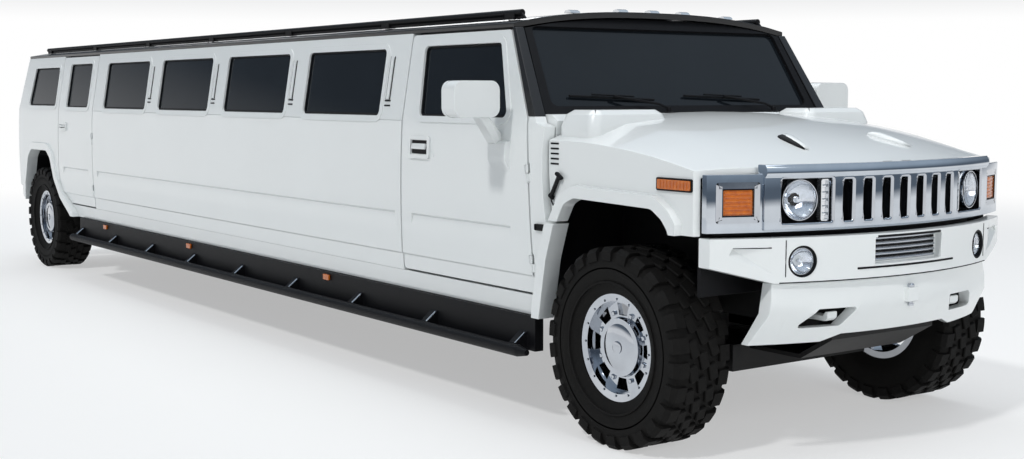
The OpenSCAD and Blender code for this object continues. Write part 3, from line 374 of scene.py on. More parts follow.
def shade(obj, weld=True, edge=0.0):
    if weld:
        modify(obj, "join_triangles", "WELD", merge_threshold=JOIN)
    if edge:
        modify(obj, "whole_faces", "DECIMATE", decimate_type="DISSOLVE", angle_limit=FLAT_LIMIT)
        modify(obj, "eased_edges", "BEVEL", width=edge, segments=2, limit_method="ANGLE",
               angle_limit=BEVEL_LIMIT, use_clamp_overlap=False, miter_outer="MITER_ARC")
    modify(obj, "shade_by_angle", "NODES", node_group=SHADE_BY_ANGLE)
    if edge:
        modify(obj, "even_faces", "WEIGHTED_NORMAL", keep_sharp=True)


EDGE_OF_SLOT = {"paint_white": 0.004, "roof_black": 0.004, "black_trim": 0.003, "chrome": 0.003,
                "lamp_amber": 0.004}
WHEEL_NODES = [f"rim_{end}_{side}" for end in AXLES for side in SIDES]
PLAIN_EDGES = ["windshield_frame"] + WHEEL_NODES
slot_of = {row["node"]: row["material_slot"] for row in frame["record"]["subparts"]}
for name, obj in nodes.items():
    obj.data.materials.clear()
    obj.data.materials.append(NOSE_PLATE if name == "grille" else FINISHES[slot_of[name]])
    shade(obj, edge=0.0 if name in PLAIN_EDGES else EDGE_OF_SLOT.get(slot_of[name], 0.0))
print("solids dressed", len(nodes))

# %% [markdown]
# ## Tools for small fittings
# A fitting is shaped on its own, about the origin, and then set on the surface that carries it.
# Each maker below starts from one bmesh operator and lets bevel, extrude, inset and spin do the rest.
# A shape that is mirrored to the left side has its faces turned round again.

# %% Makers of small shapes
CORNER_STEPS = 6
HERE = Matrix()


def at(x, y, z):
    return Matrix.Translation((x, y, z))


def turn(degrees, axis):
    return Matrix.Rotation(math.radians(degrees), 4, axis)


def part_turn(k, count, axis):
    """The turn to place k of the even places round a circle."""
    return Matrix.Rotation(2 * math.pi * k / count, 4, axis)


def spread(count, step):
    """Even places in a row, with nought in the middle."""
    return [(k - (count - 1) / 2) * step for k in range(count)]


def middle_of(low, high):
    return tuple((a + b) / 2 for a, b in zip(low, high))


def corners_of(result):
    return [item for item in result["geom"] if isinstance(item, bmesh.types.BMVert)]


def rounded_block(size, edge, segments=2):
    shape = bmesh.new()
    bmesh.ops.create_cube(shape, size=1)
    bmesh.ops.scale(shape, vec=size, verts=shape.verts)
    bmesh.ops.bevel(shape, geom=shape.edges[:], offset=edge, segments=segments, profile=0.5,
                    affect="EDGES", material=-1)
    return shape


def rounded_plate(width, height, corner, depth, segments=5):
    """A flat plate with rounded corners, standing on z = 0."""
    shape = bmesh.new()
    bmesh.ops.create_grid(shape, x_segments=1, y_segments=1, size=0.5)
    bmesh.ops.scale(shape, vec=(width, height, 1), verts=shape.verts)
    bmesh.ops.bevel(shape, geom=shape.verts[:], offset=corner, segments=segments, profile=0.5,
                    affect="VERTICES", material=-1)
    grown = bmesh.ops.extrude_face_region(shape, geom=shape.faces[:])
    bmesh.ops.translate(shape, vec=(0, 0, depth), verts=corners_of(grown))
    bmesh.ops.recalc_face_normals(shape, faces=shape.faces)
    return shape


def top_face(shape):
    return max(shape.faces, key=lambda face: face.calc_center_median().z + face.calc_area())


def dished_plate(width, height, corner, depth, rim, dish):
    """A plate whose middle is pushed in behind a rim."""
    shape = rounded_plate(width, height, corner, depth)
    middle = top_face(shape)
    bmesh.ops.inset_region(shape, faces=[middle], thickness=rim, use_even_offset=True)
    grown = bmesh.ops.extrude_face_region(shape, geom=[middle])
    bmesh.ops.translate(shape, vec=(0, 0, -dish), verts=corners_of(grown))
    bmesh.ops.delete(shape, geom=[middle], context="FACES_ONLY")
    return shape


def turned_shape(profile, steps=48):
    """A profile of radius and height, spun round the Z axis."""
    shape = bmesh.new()
    line = [shape.verts.new((radius, 0, height)) for radius, height in profile]
    edges = [shape.edges.new(pair) for pair in zip(line, line[1:])]
    bmesh.ops.spin(shape, geom=line + edges, cent=(0, 0, 0), axis=(0, 0, 1), angle=2 * math.pi,
                   steps=steps, use_merge=True)
    bmesh.ops.remove_doubles(shape, verts=shape.verts, dist=SPIN_JOIN)
    bmesh.ops.recalc_face_normals(shape, faces=shape.faces)
    return shape


def rod(points, radius, sides=10):
    """A round bar that follows a few points."""
    shape = bmesh.new()
    points = [Vector(point) for point in points]
    last = len(points) - 1

    def ring_place(i):
        ahead = points[min(i + 1, last)] - points[max(i - 1, 0)]
        return Matrix.Translation(points[i]) @ ahead.to_track_quat("Z", "Y").to_matrix().to_4x4()

    bmesh.ops.create_circle(shape, cap_ends=True, radius=radius, segments=sides, matrix=ring_place(0))
    rim = shape.edges[:]
    for i in range(1, last + 1):
        grown = bmesh.ops.extrude_edge_only(shape, edges=rim)
        ring = corners_of(grown)
        bmesh.ops.transform(shape, matrix=ring_place(i) @ ring_place(i - 1).inverted(), verts=ring)
        fresh = set(ring)
        rim = [edge for edge in shape.edges if edge.verts[0] in fresh and edge.verts[1] in fresh]
    bmesh.ops.edgeloop_fill(shape, edges=rim)
    bmesh.ops.recalc_face_normals(shape, faces=shape.faces)
    return shape


def rounded_outline(wide, high, corner):
    """Points round a box with rounded corners, the first one again at the end."""
    points = []
    whole = 4 * (CORNER_STEPS + 1)
    for k in range(whole + 1):
        quarter, step = divmod(k % whole, CORNER_STEPS + 1)
        angle = math.radians(90 * (quarter + step / CORNER_STEPS))
        across = (wide / 2 - corner) * (1 if quarter in (0, 3) else -1)
        up = (high / 2 - corner) * (1 if quarter in (0, 1) else -1)
        points.append((across + corner * math.cos(angle), up + corner * math.sin(angle)))
    return points


def put(target, shape, place):
    """Adds a shape to a larger one, at its place; a mirrored place keeps its faces outwards."""
    sheet = bpy.data.meshes.new("part")
    shape.to_mesh(sheet)
    shape.free()
    sheet.transform(place)
    if place.determinant() < 0:
        sheet.flip_normals()
    target.from_mesh(sheet)
    bpy.data.meshes.remove(sheet)


def add_piece(name, shape, slot, body):
    mesh = bpy.data.meshes.new(name)
    shape.to_mesh(mesh)
    shape.free()
    obj = bpy.data.objects.new(name, mesh)
    scene.collection.objects.link(obj)
    mesh.materials.append(FINISHES[slot])
    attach(obj, body)
    shade(obj, weld=False)
    return obj


def fit(name, slot, body, *parts):
    """One piece from several shapes, each given with its place."""
    whole = bmesh.new()
    for shape, place in parts:
        put(whole, shape, place)
    return add_piece(name, whole, slot, body)


print("makers ready")

# %% [markdown]
# A fitting has to sit on the panel wherever the panel is, so its place is found by a ray:
# it starts outside the car, flies straight at the panel and stops where it meets the solid.

# %% Finding a place on a panel
_panels = {}


def touch(node, start, direction):
    if node not in _panels:
        mesh = nodes[node].data
        _panels[node] = BVHTree.FromPolygons(
            [corner.co for corner in mesh.vertices], [face.vertices[:] for face in mesh.polygons])
    place, normal, _, _ = _panels[node].ray_cast(Vector(start), Vector(direction).normalized())
    return place, normal


def standing_on(place, normal, along):
    """A frame with Z out of the surface and X as near as can be to the given direction."""
    out = Vector(normal).normalized()
    across = out.cross(Vector(along)).normalized()
    ahead = across.cross(out)
    axes = Matrix((ahead, across, out)).transposed().to_4x4()
    return Matrix.Translation(place) @ axes


def side_mirror(side):
    return Matrix.Diagonal((1, SIDES[side], 1, 1))


def on_side(node, x, z):
    """A place on the right side of the car, X forward and Y up, Z out of the panel."""
    place, normal = touch(node, (x, -3, z), (0, 1, 0))
    return standing_on(place, normal, (1, 0, 0))


def on_top(node, x, y):
    """A place on top of the car, X forward and Y to the left, Z out of the panel."""
    place, normal = touch(node, (x, y, 3), (0, 0, -1))
    return standing_on(place, normal, (1, 0, 0))


def front_of(node, y, z):
    """Where a ray from ahead meets a node, and which way the surface faces there."""
    return touch(node, (cad_high.x + 1, y, z), (-1, 0, 0))


def on_front(node, y, z):
    """A place on the nose, X to the car's left and Y up, Z out of the panel."""
    place, normal = front_of(node, y, z)
    return standing_on(place, normal, (0, 1, 0))


def on_back(node, y, z):
    """A place on the tail, X to the car's right and Y up, Z out of the panel."""
    place, normal = touch(node, (cad_low.x - 1, y, z), (1, 0, 0))
    return standing_on(place, normal, (0, -1, 0))


print("places ready")

# %% [markdown]
# ## Lamps
# A headlamp is a bright bowl behind a clear domed lens, held by a plated ring.
# In the construction model it is one solid plug, so the bowl, bulb, ring and lens made here stand for it.
# All the round parts are profiles spun about the lamp's own axis, which follows the bow of the nose.

# %% Lens material
def clear_lens(name, colour):
    material, tree, shader, place = new_material(name)
    set_sockets(shader, {"Transmission Weight": 1.0, "IOR": 1.3, "Base Color": colour})
    ribs = add_node(tree, "TexWave", {"Scale": 24}, {"Vector": place})
    ribs.bands_direction = "Y"
    raise_surface(tree, shader, ribs.outputs["Fac"], 0.12, GRAIN_DEPTH)
    gloss = add_node(tree, "MapRange", {"To Min": 0.03, "To Max": 0.10}, {"Value": ribs.outputs["Fac"]})
    tree.links.new(gloss.outputs["Result"], shader.inputs["Roughness"])
    return material


LENS = clear_lens("clear_lens", (0.95, 0.97, 1.0, 1))
print("lens ready")

# %% Head and fog lamps
BOWL_DEPTH = {"headlamp": 0.042, "foglamp": 0.028}
HEADLAMP_OVER, LAMP_SINK, LAMP_INSIDE = 0.07, 0.009, 0.965


def solids_of(node):
    """The boxes of a node's separate solids."""
    shape = bmesh.new()
    shape.from_mesh(nodes[node].data)
    bmesh.ops.remove_doubles(shape, verts=shape.verts, dist=JOIN)
    waiting = set(shape.verts)
    boxes = []
    while waiting:
        group = [waiting.pop()]
        for corner in group:
            for edge in corner.link_edges:
                other = edge.other_vert(corner)
                if other in waiting:
                    waiting.discard(other)
                    group.append(other)
        low = Vector([min(corner.co[i] for corner in group) for i in range(3)])
        high = Vector([max(corner.co[i] for corner in group) for i in range(3)])
        boxes.append((low, high))
    shape.free()
    return boxes


def lamp_parts(radius, depth):
    """Bowl, bulb cap, ring and lens of a round lamp, with the lens towards +Z and its rim at z = 0."""
    inner = radius * 0.93
    bowl = turned_shape([(0.0, -depth), (radius * 0.22, -depth)] + [
        (radius * (0.22 + 0.74 * k / 6), -depth * (1 - (k / 6) ** 2)) for k in range(1, 7)])
    cap = turned_shape([(0.0, -depth * 0.20), (radius * 0.10, -depth * 0.24), (radius * 0.15, -depth * 0.45),
                        (radius * 0.15, -depth), (0.0, -depth)], steps=24)
    ring = turned_shape([(inner, -depth), (radius, -depth), (radius, 0.0), (radius * 0.98, 0.006),
                         (radius * 0.94, 0.006), (inner, 0.0), (inner, -depth)])
    dome = [(inner * math.sin(k * math.pi / 12), 0.011 * math.cos(k * math.pi / 12)) for k in range(7)]
    lens = turned_shape(dome + [(inner, -0.004), (0.0, 0.004)])
    return bowl, cap, ring, lens


lamp_boxes = [box for box in solids_of("front_lamps") if box[1].y < 0]
round_boxes = [box for box in lamp_boxes if abs((box[1].y - box[0].y) - (box[1].z - box[0].z)) < 0.004]
for low, high in round_boxes:
    radius = (high.z - low.z) / 2
    kind = "headlamp" if radius > HEADLAMP_OVER else "foglamp"
    front, normal = front_of("front_lamps", *middle_of(low, high)[1:])
    for side in SIDES:
        place = side_mirror(side) @ standing_on(front - LAMP_SINK * normal, normal, (0, -1, 0))
        bowl, cap, ring, lens = lamp_parts(radius * LAMP_INSIDE, BOWL_DEPTH[kind])
        fit(f"{kind}_bowl_{side}", "lamp_clear", "body", (bowl, place), (cap, place))
        fit(f"{kind}_ring_{side}", "chrome", "body", (ring, place))
        cover = fit(f"{kind}_lens_{side}", "lamp_clear", "body", (lens, place))
        cover.data.materials[0] = LENS
        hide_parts("front_lamps")

# %% Turn lamp strip beside each headlamp
STRIP_RIBS, STRIP_SINK = 5, 0.030
strip_boxes = [box for box in lamp_boxes if box not in round_boxes]
for low, high in strip_boxes:
    front, normal = front_of("front_lamps", *middle_of(low, high)[1:])
    width, height = high.y - low.y, high.z - low.z
    for side in SIDES:
        place = side_mirror(side) @ standing_on(front - STRIP_SINK * normal, normal, (0, -1, 0))
        ribs = [(rounded_block((width - 0.014, 0.012, 0.010), 0.003), place @ at(0, up, 0.020))
                for up in spread(STRIP_RIBS, height / (STRIP_RIBS + 1))]
        fit(f"headlamp_strip_{side}", "lamp_clear", "body",
            (dished_plate(width, height, 0.008, 0.028, 0.005, 0.010), place), *ribs)
print("strips", len(strip_boxes) * len(SIDES))

# %% [markdown]
# ## Grille mouldings
# The grille is one bowed casting with rounded edges, so every slot shows a bright line round it.
# A half-sunk rod follows the outline of each slot and lamp opening, laid on the bow of the nose.
# The sizes of the bow and its openings are those of the construction model.

# %% Round edges of the grille
NOSE_R, SLOT_COUNT, SLOT_PITCH, SLOT_WIDE = 2.300, 7, 0.109, 0.062
SLOT_LOW, SLOT_HIGH, OPENING_R = 1.004, 1.192, 0.014
LAMP_FROM, LAMP_TO, LAMP_HIGHER = 0.402, 0.652, 0.006
SLOT_ROD, LAMP_ROD, ROD_PROUD = 0.010, 0.008, 0.002
nose_front = front_of("grille", 0, SLOT_LOW - 0.010)[0].x


def on_nose(y, z, off=0.0):
    return Vector((nose_front - NOSE_R + math.sqrt((NOSE_R + off) ** 2 - y * y), y, z))


def nose_edge(start, end, low, high, radius):
    """A rod round an opening of the nose, with the place of the nose itself."""
    middle, level = (start + end) / 2, (low + high) / 2
    outline = rounded_outline(end - start, high - low, OPENING_R)
    path = [on_nose(middle + across, level + up, ROD_PROUD - radius) for across, up in outline]
    return rod(path, radius, sides=12), HERE


edges = [nose_edge(y - SLOT_WIDE / 2, y + SLOT_WIDE / 2, SLOT_LOW, SLOT_HIGH, SLOT_ROD)
         for y in spread(SLOT_COUNT, SLOT_PITCH)]
for sign in SIDES.values():
    start, end = sorted((sign * LAMP_FROM, sign * LAMP_TO))
    edges.append(nose_edge(start, end, SLOT_LOW, SLOT_HIGH + LAMP_HIGHER, LAMP_ROD))
fit("grille_mouldings", "chrome", "body", *edges)
print("grille slots", SLOT_COUNT)

# %% [markdown]
# ## Tyres
# A mud tyre has lugs on its shoulders and rows of blocks across the middle.
# The lugs are in the construction model, so only the middle rows and the sidewall's moulded rings are added.
# One block is shaped once and then turned round the axle, with every second row shifted by half a step.

# %% Tread blocks and sidewall rings
BLOCK_ROWS = (-0.056, 0.0, 0.056)
BLOCKS_ROUND, BLOCK_HIGH, BLOCK_SINK = 26, 0.022, 0.002
RING_RADII, RING_SINK = (TYRE_R * 0.655, TYRE_R * 0.79), 0.011


def tread_block():
    shape = rounded_block((0.074, 0.046, BLOCK_HIGH), 0.004, segments=1)
    slant = Matrix.Rotation(math.radians(18), 3, "Z")
    bmesh.ops.rotate(shape, cent=(0, 0, 0), matrix=slant, verts=shape.verts)
    return shape


def sidewall_ring(radius, half):
    low, high = half - 0.012, half + 0.003
    return turned_shape([(radius - 0.006, low), (radius - 0.004, high), (radius + 0.004, high),
                         (radius + 0.006, low), (radius - 0.006, low)], steps=64)


for end, x in AXLES.items():
    for side, sign in SIDES.items():
        hub = at(x, -sign * WHEEL_Y, AXLE_Z)
        rubber = []
        for row, y in enumerate(BLOCK_ROWS):
            lift = at(0, y, TYRE_R - BLOCK_HIGH / 2 - BLOCK_SINK)
            rubber += [(tread_block(), hub @ part_turn(k + 0.5 * (row % 2), BLOCKS_ROUND, "Y") @ lift)
                       for k in range(BLOCKS_ROUND)]
        rubber += [(sidewall_ring(radius, TYRE_HALF - RING_SINK), hub @ turn(90 * sign, "X"))
                   for radius in RING_RADII]
        fit(f"tread_{end}_{side}", "tyre", f"wheel_{end}_{side}", *rubber)
print("tread blocks", len(BLOCK_ROWS) * BLOCKS_ROUND * len(AXLES) * len(SIDES))

# %% [markdown]
# ## Wheels
# Each plated wheel has a wide cap over its hub, a ring of bolts round it and small studs on its rim.
# The cap's dome, a stepped ring and the bolts are spun or bevelled shapes on the outer face of the rim.

# %% Hub caps, bolts and rim studs
BOLTS, BOLT_RING, STUDS, STUD_RING = 8, 0.152, 16, 0.212
CAP_LINE = ((0.0, 0.010), (0.03, 0.0095), (0.07, 0.006), (0.10, 0.001), (0.112, -0.004), (0.0, -0.004))
BUTTON_LINE = ((0.026, 0.008), (0.028, 0.013), (0.022, 0.015), (0.0, 0.0155))
STUD_LINE = ((0.0, 0.006), (0.004, 0.005), (0.006, 0.0), (0.0, -0.004))
for end, x in AXLES.items():
    cap_face, _ = touch(f"rim_{end}_right", (x, -2, AXLE_Z), (0, 1, 0))
    for side in SIDES:
        rim_low, rim_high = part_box(f"rim_{end}_{side}")
        outer = max(abs(rim_low.y), abs(rim_high.y))
        place = side_mirror(side) @ at(x, -outer, AXLE_Z) @ turn(90, "X")
        sink = outer + cap_face.y
        plated = [(turned_shape(CAP_LINE), place @ at(0, 0, -sink)),
                  (turned_shape(BUTTON_LINE, steps=32), place @ at(0, 0, -sink))]
        plated += [(rounded_block((0.020, 0.020, 0.018), 0.004),
                    place @ part_turn(k + 0.5, BOLTS, "Z") @ at(BOLT_RING, 0, -sink - 0.020))
                   for k in range(BOLTS)]
        plated += [(turned_shape(STUD_LINE, steps=10),
                    place @ part_turn(k, STUDS, "Z") @ at(STUD_RING, 0, -0.004)) for k in range(STUDS)]
        fit(f"hub_trim_{end}_{side}", "chrome", f"wheel_{end}_{side}", *plated)
print("hub trims", len(AXLES) * len(SIDES))

# %% [markdown]
# ## Doors
# The door handle is a pressed cup with a raised lip and a white pull across its middle, where a black plate
# paints the shade.
# The cup is a plate with rounded corners whose middle is inset and pushed in; the pull is a bevelled bar.

# %% Door handles
HANDLES = {"front": (FRONT_X - 1.563, 1.260, 0.200, 0.116), "rear": (REAR_X + 0.565, 1.257, 0.190, 0.070)}
LOCK_LINE = ((0.0, 0.003), (0.008, 0.003), (0.010, 0.0), (0.0, -0.002))
for end, (x, z, width, height) in HANDLES.items():
    for side in SIDES:
        place = side_mirror(side) @ on_side(f"door_{end}_right", x, z)
        door = f"door_{end}_{side}"
        fit(f"handle_cup_{end}_{side}", "paint_white", door,
            (dished_plate(width, height, 0.020, 0.012, 0.020, 0.0105), place))
        # A thin black plate on the floor of the cup paints the shade inside it.
        fit(f"handle_painted_shade_{end}_{side}", "black_trim", door,
            (rounded_plate(width - 0.046, height - 0.046, 0.010, 0.002), place @ at(0, 0, 0.0012)))
        fit(f"handle_pull_{end}_{side}", "paint_white", door,
            (rounded_block((width - 0.066, height * 0.26, 0.012), 0.004),
             place @ at(0, height * 0.03, 0.010) @ turn(-10, "X")),
            (turned_shape(LOCK_LINE, steps=20), place @ at(width * 0.62, -height * 0.3, 0.0)))
print("handles", len(HANDLES) * len(SIDES))

# %% [markdown]
# ## Windows
# Each side window sits behind a white frame that stands a few millimetres proud, with a rubber seal inside.
# Both follow the outline of the glass, so they are made from it: the outer face of the glass is kept,
# its triangles are dissolved into one face, and inset with extrude turns its edge into a rim.

# %% Window frames and seals
FRAME_WIDE, FRAME_PROUD, GLASS_DEEP = 0.032, 0.006, 0.013
SEAL_WIDE, SEAL_HIGH = 0.012, 0.007


def pane_faces(node, sign):
    shape = bmesh.new()
    shape.from_mesh(nodes[node].data)
    bmesh.ops.remove_doubles(shape, verts=shape.verts, dist=JOIN)
    away = [face for face in shape.faces if face.normal.y * sign < 0.7]
    bmesh.ops.delete(shape, geom=away, context="FACES")
    bmesh.ops.dissolve_limit(shape, angle_limit=math.radians(2), verts=shape.verts, edges=shape.edges)
    return shape


def rim_of(shape, wide, high, lift):
    """Turns each face into a raised rim inside its edge, or outside it where the width is negative."""
    normal = shape.faces[:][0].normal.copy()
    made = bmesh.ops.inset_region(shape, faces=shape.faces[:], thickness=wide, use_even_offset=True,
                                  use_boundary=True)
    rims = set(made["faces"])
    bmesh.ops.delete(shape, geom=[face for face in shape.faces if face not in rims], context="FACES")
    bmesh.ops.translate(shape, vec=normal * lift, verts=shape.verts)
    grown = bmesh.ops.extrude_face_region(shape, geom=shape.faces[:])
    bmesh.ops.translate(shape, vec=normal * high, verts=corners_of(grown))
    bmesh.ops.recalc_face_normals(shape, faces=shape.faces)
    return shape


panes = [("side_glass", side, f"side_glass_{side}", "body") for side in SIDES]
panes += [(f"door_glass_{end}_{side}", side, f"door_glass_{end}_{side}", f"door_{end}_{side}")
          for side in SIDES for end in AXLES]
for node, side, tail, body in panes:
    sign = -SIDES[side]
    seal = rim_of(pane_faces(node, sign), SEAL_WIDE, SEAL_HIGH, 0.0)
    add_piece(f"seal_{tail}", seal, "black_trim", body)
    surround = rim_of(pane_faces(node, sign), -FRAME_WIDE, FRAME_PROUD, GLASS_DEEP)
    add_piece(f"window_frame_{tail}", surround, "paint_white", body)
print("window frames", len(panes))

# %% [markdown]
# ## Hood fittings
# Rubber latches hold the hood down at its rear corners, with five thin slots above each to let out heat.
# An amber marker sits on each side, and two teardrop mouldings stand on top to guide the washer jets.
# Every fitting is set where a ray meets the hood, so it follows the curve, and it rides on the hood.

# %% Side markers
MARKER_X, MARKER_Z, MARKER_LONG, MARKER_HIGH = FRONT_X + 0.355, 1.165, 0.200, 0.040
MARKER_RIBS, MARKER_LIP = 9, 0.014
for side in SIDES:
    place = side_mirror(side) @ on_side("hood", MARKER_X, MARKER_Z)
    gasket = dished_plate(MARKER_LONG + MARKER_LIP, MARKER_HIGH + MARKER_LIP, 0.008, 0.008, 0.005, 0.005)
    fit(f"marker_gasket_{side}", "black_trim", "hood", (gasket, place))
    ribs = [(rounded_block((0.005, MARKER_HIGH - 0.008, 0.006), 0.0015, segments=1),
             place @ at(along, 0, 0.010)) for along in spread(MARKER_RIBS, MARKER_LONG / (MARKER_RIBS + 1))]
    fit(f"marker_lens_{side}", "lamp_amber", "hood",
        (rounded_plate(MARKER_LONG, MARKER_HIGH, 0.006, 0.010), place), *ribs)
print("side markers", len(SIDES))

# %% Latches and slots
LATCH_X, LATCH_Z, LATCH_LEAN = FRONT_X - 0.436, 1.116, -32
LOUVRE_X, LOUVRE_LOW, LOUVRE_STEP, LOUVRES = FRONT_X - 0.452, 1.218, 0.023, 5
HOOK_LINE = ((-0.030, -0.064, 0.010), (-0.016, -0.086, 0.010), (0.020, -0.060, 0.010), (0.020, -0.048, 0.004))
BOSS_LINE = ((0.0, 0.009), (0.012, 0.008), (0.017, 0.0), (0.0, -0.004))
for side in SIDES:
    place = side_mirror(side) @ on_side("hood", LATCH_X, LATCH_Z)
    lean = place @ turn(LATCH_LEAN, "Z")
    fit(f"latch_{side}", "black_trim", "hood",
        (rounded_block((0.020, 0.124, 0.014), 0.005), lean @ at(0, 0, 0.012)),
        (rounded_block((0.050, 0.017, 0.020), 0.006), lean @ at(0, 0.058, 0.013)),
        (rounded_block((0.034, 0.020, 0.018), 0.006), lean @ at(0, -0.056, 0.010)),
        (rod(HOOK_LINE, 0.0035, sides=8), place))
    fit(f"latch_boss_{side}", "paint_white", "hood",
        (turned_shape(BOSS_LINE, steps=24), lean @ at(-0.026, 0.034, 0)))
    slots = [side_mirror(side) @ on_side("hood", LOUVRE_X, LOUVRE_LOW + k * LOUVRE_STEP)
             for k in range(LOUVRES)]
    fit(f"hood_slots_{side}", "black_trim", "hood",
        *[(dished_plate(0.058, 0.008, 0.0035, 0.003, 0.001, 0.002), place) for place in slots])
print("latches", len(SIDES), "slots", LOUVRES * len(SIDES))

# %% Teardrops on the hood and stops below it
DROP_X, DROP_Y, DROP_LONG, DROP_WIDE = FRONT_X + 0.290, -0.279, 0.225, 0.028
DROP_HALF = ((0.0, 0.0), (0.45, 0.03), (0.85, 0.12), (1.0, 0.26), (0.86, 0.50), (0.52, 0.78), (0.0, 1.0))
DROP_LINE = [(DROP_WIDE * r, DROP_LONG * t) for r, t in DROP_HALF]
DROP_AHEAD = (0.225, -0.059, 0)
STOP_X, STOP_Z = FRONT_X - 0.510, 0.925
spot, normal = touch("hood", (DROP_X, DROP_Y, 3), (0, 0, -1))
for side in SIDES:
    place = side_mirror(side) @ standing_on(spot, normal, DROP_AHEAD)
    fit(f"teardrop_{side}", "paint_white", "hood",
        (turned_shape(DROP_LINE, steps=32), place @ Matrix.Diagonal((1, 1, 0.8, 1)) @ turn(90, "Y")))
    # A black copy of the teardrop, set outboard and a little lower, peeks out along its outer edge as painted
    # shade.
    fit(f"teardrop_shade_{side}", "black_trim", "hood",
        (turned_shape(DROP_LINE, steps=32),
         place @ at(-0.004, -0.013, -0.003) @ Matrix.Diagonal((0.97, 1, 0.72, 1)) @ turn(90, "Y")))
    fit(f"hood_stop_{side}", "black_trim", "body",
        (dished_plate(0.078, 0.030, 0.008, 0.012, 0.006, 0.004),
         side_mirror(side) @ on_side("front_pillars", STOP_X, STOP_Z)))
print("teardrops", len(SIDES))

# %% [markdown]
# ## Wipers
# Two wipers rest at the foot of the windshield, both pointing to the right.
# Each has a turned pivot on the cowl, a thin arm and a blade whose points are found on the glass itself.

# %% Windshield wipers
WIPER_PIVOTS, WIPER_X, WIPER_Z = (-0.17, 0.56), FRONT_X - 0.570, 1.508
ARM_REACH, BLADE_REACH, BLADE_OFF, BLADE_DROP = 0.30, 0.26, 0.012, 0.010
ALONG_BLADE = (-1, -0.5, 0, 0.5, 1)
PIVOT_LINE = ((0.0, 0.030), (0.011, 0.029), (0.014, 0.022), (0.014, 0.010), (0.022, 0.006), (0.022, -0.003),
              (0.0, -0.003))


def on_glass(y, z, off):
    spot, normal = touch("windshield", (cad_high.x, y, z), (-1, 0, 0))
    return spot + off * normal


for number, y in enumerate(WIPER_PIVOTS):
    foot = on_top("cowl", WIPER_X, y)
    tip = on_glass(y - ARM_REACH, WIPER_Z, BLADE_OFF + 0.014)
    knee = foot.translation + Vector((-0.010, -0.06, 0.045))
    arm = [foot.translation + Vector((0, 0, 0.022)), knee, (knee + tip) / 2, tip]
    blade = [on_glass(y - ARM_REACH + along * BLADE_REACH, WIPER_Z - BLADE_DROP * along, BLADE_OFF)
             for along in ALONG_BLADE]
    spine = [point + Vector((0.004, 0, 0.012)) for point in blade[1:4]]
    fit(f"wiper_{number + 1}", "black_trim", "body", (turned_shape(PIVOT_LINE, steps=24), foot),
        (rod(arm, 0.0065), HERE), (rod(blade, 0.006, sides=8), HERE), (rod(spine, 0.004, sides=8), HERE))
print("wipers", len(WIPER_PIVOTS))

# %% [markdown]
# ## Front bumper
# The middle of the bumper is ribbed: five bright bars follow its bow, with black rods as painted shade
# between them.
# Below them black rods paint the shadow at the foot of the recess and the shade in the seam above the guard.
# Each line is a rod led over points that rays find on the bumper's face.

# %% Bumper ribs and painted shade lines
RIB_HALF, RIB_LOW, RIB_STEP, RIBS = 0.203, 0.842, 0.0225, 5
SHADE_LINE_Z, SHADE_LINE_HALF = 0.815, 0.310
GUARD_SEAM_SHADE_HALF, GUARD_SEAM_SHADE_UP = 0.670, 0.003
BOW_STEPS = 12


def bow_rod(z, half, off, radius, sides=8):
    """A rod across the bumper's face at one height, with the place of the bumper itself."""
    points = []
    for k in range(BOW_STEPS + 1):
        spot, _ = front_of("front_bumper", -half + 2 * half * k / BOW_STEPS, z)
        points.append(spot + Vector((off, 0, 0)))
    return rod(points, radius, sides=sides), HERE


rib_levels = [RIB_LOW + k * RIB_STEP for k in range(RIBS)]
fit("bumper_ribs", "chrome", "body", *[bow_rod(z, RIB_HALF, 0.001, 0.0062, sides=12) for z in rib_levels])
guard_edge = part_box("bumper_guard")[1].z + GUARD_SEAM_SHADE_UP
# Black rods paint the shade between the ribs, the shadow at the foot of the recess and the shade in the seam
# above the guard.
fit("bumper_shade_lines", "black_trim", "body",
    *[bow_rod(z + RIB_STEP / 2, RIB_HALF, -0.003, 0.0060) for z in rib_levels],
    bow_rod(SHADE_LINE_Z, SHADE_LINE_HALF, -0.002, 0.0055), bow_rod(guard_edge, GUARD_SEAM_SHADE_HALF, -0.0005, 0.0028))
print("bumper ribs", RIBS)

# %% Gaskets of the corner lamps
GASKET_RIM, CORNER_RIBS, CORNER_SINK = 0.008, 6, -0.004
PLATE_OVER, PLATE_RIM, PLATE_RISE, ON_SLANT = 0.062, 0.026, 0.003, 1.06


def open_ring(wide, tall, depth, rim, rise=0.0):
    """A flat ring with rounded corners, open in the middle."""
    ring = rounded_plate(wide, tall, 0.012, depth)
    middle = top_face(ring)
    bmesh.ops.inset_region(ring, faces=[middle], thickness=rim, depth=rise, use_even_offset=True)
    bmesh.ops.delete(ring, geom=[middle], context="FACES")
    return ring


def gasket_ring(wide, tall):
    return open_ring(wide + 2 * GASKET_RIM, tall + 2 * GASKET_RIM, 0.008, GASKET_RIM)


for low, high in solids_of("amber_lamps"):
    if high.y > 0 or high.x < FRONT_X:
        continue
    wide, tall = high.y - low.y, high.z - low.z
    middle = on_front("amber_lamps", *middle_of(low, high)[1:])
    for side in SIDES:
        place = side_mirror(side) @ middle
        fit(f"corner_gasket_{side}", "black_trim", "body",
            (gasket_ring(wide * ON_SLANT, tall), place @ at(0, 0, CORNER_SINK)))
        plate = open_ring(wide * ON_SLANT + PLATE_OVER, tall + PLATE_OVER, 0.006, PLATE_RIM, PLATE_RISE)
        fit(f"corner_plate_{side}", "chrome", "body", (plate, place @ at(0, 0, CORNER_SINK)))
        ribs = [(rounded_block((wide * 0.96, tall / CORNER_RIBS * 0.7, 0.010), 0.004),
                 place @ at(0, up, -0.002)) for up in spread(CORNER_RIBS, tall / (CORNER_RIBS + 0.4))]
        fit(f"corner_ribs_{side}", "lamp_amber", "body", *ribs)
print("corner gaskets", len(SIDES))
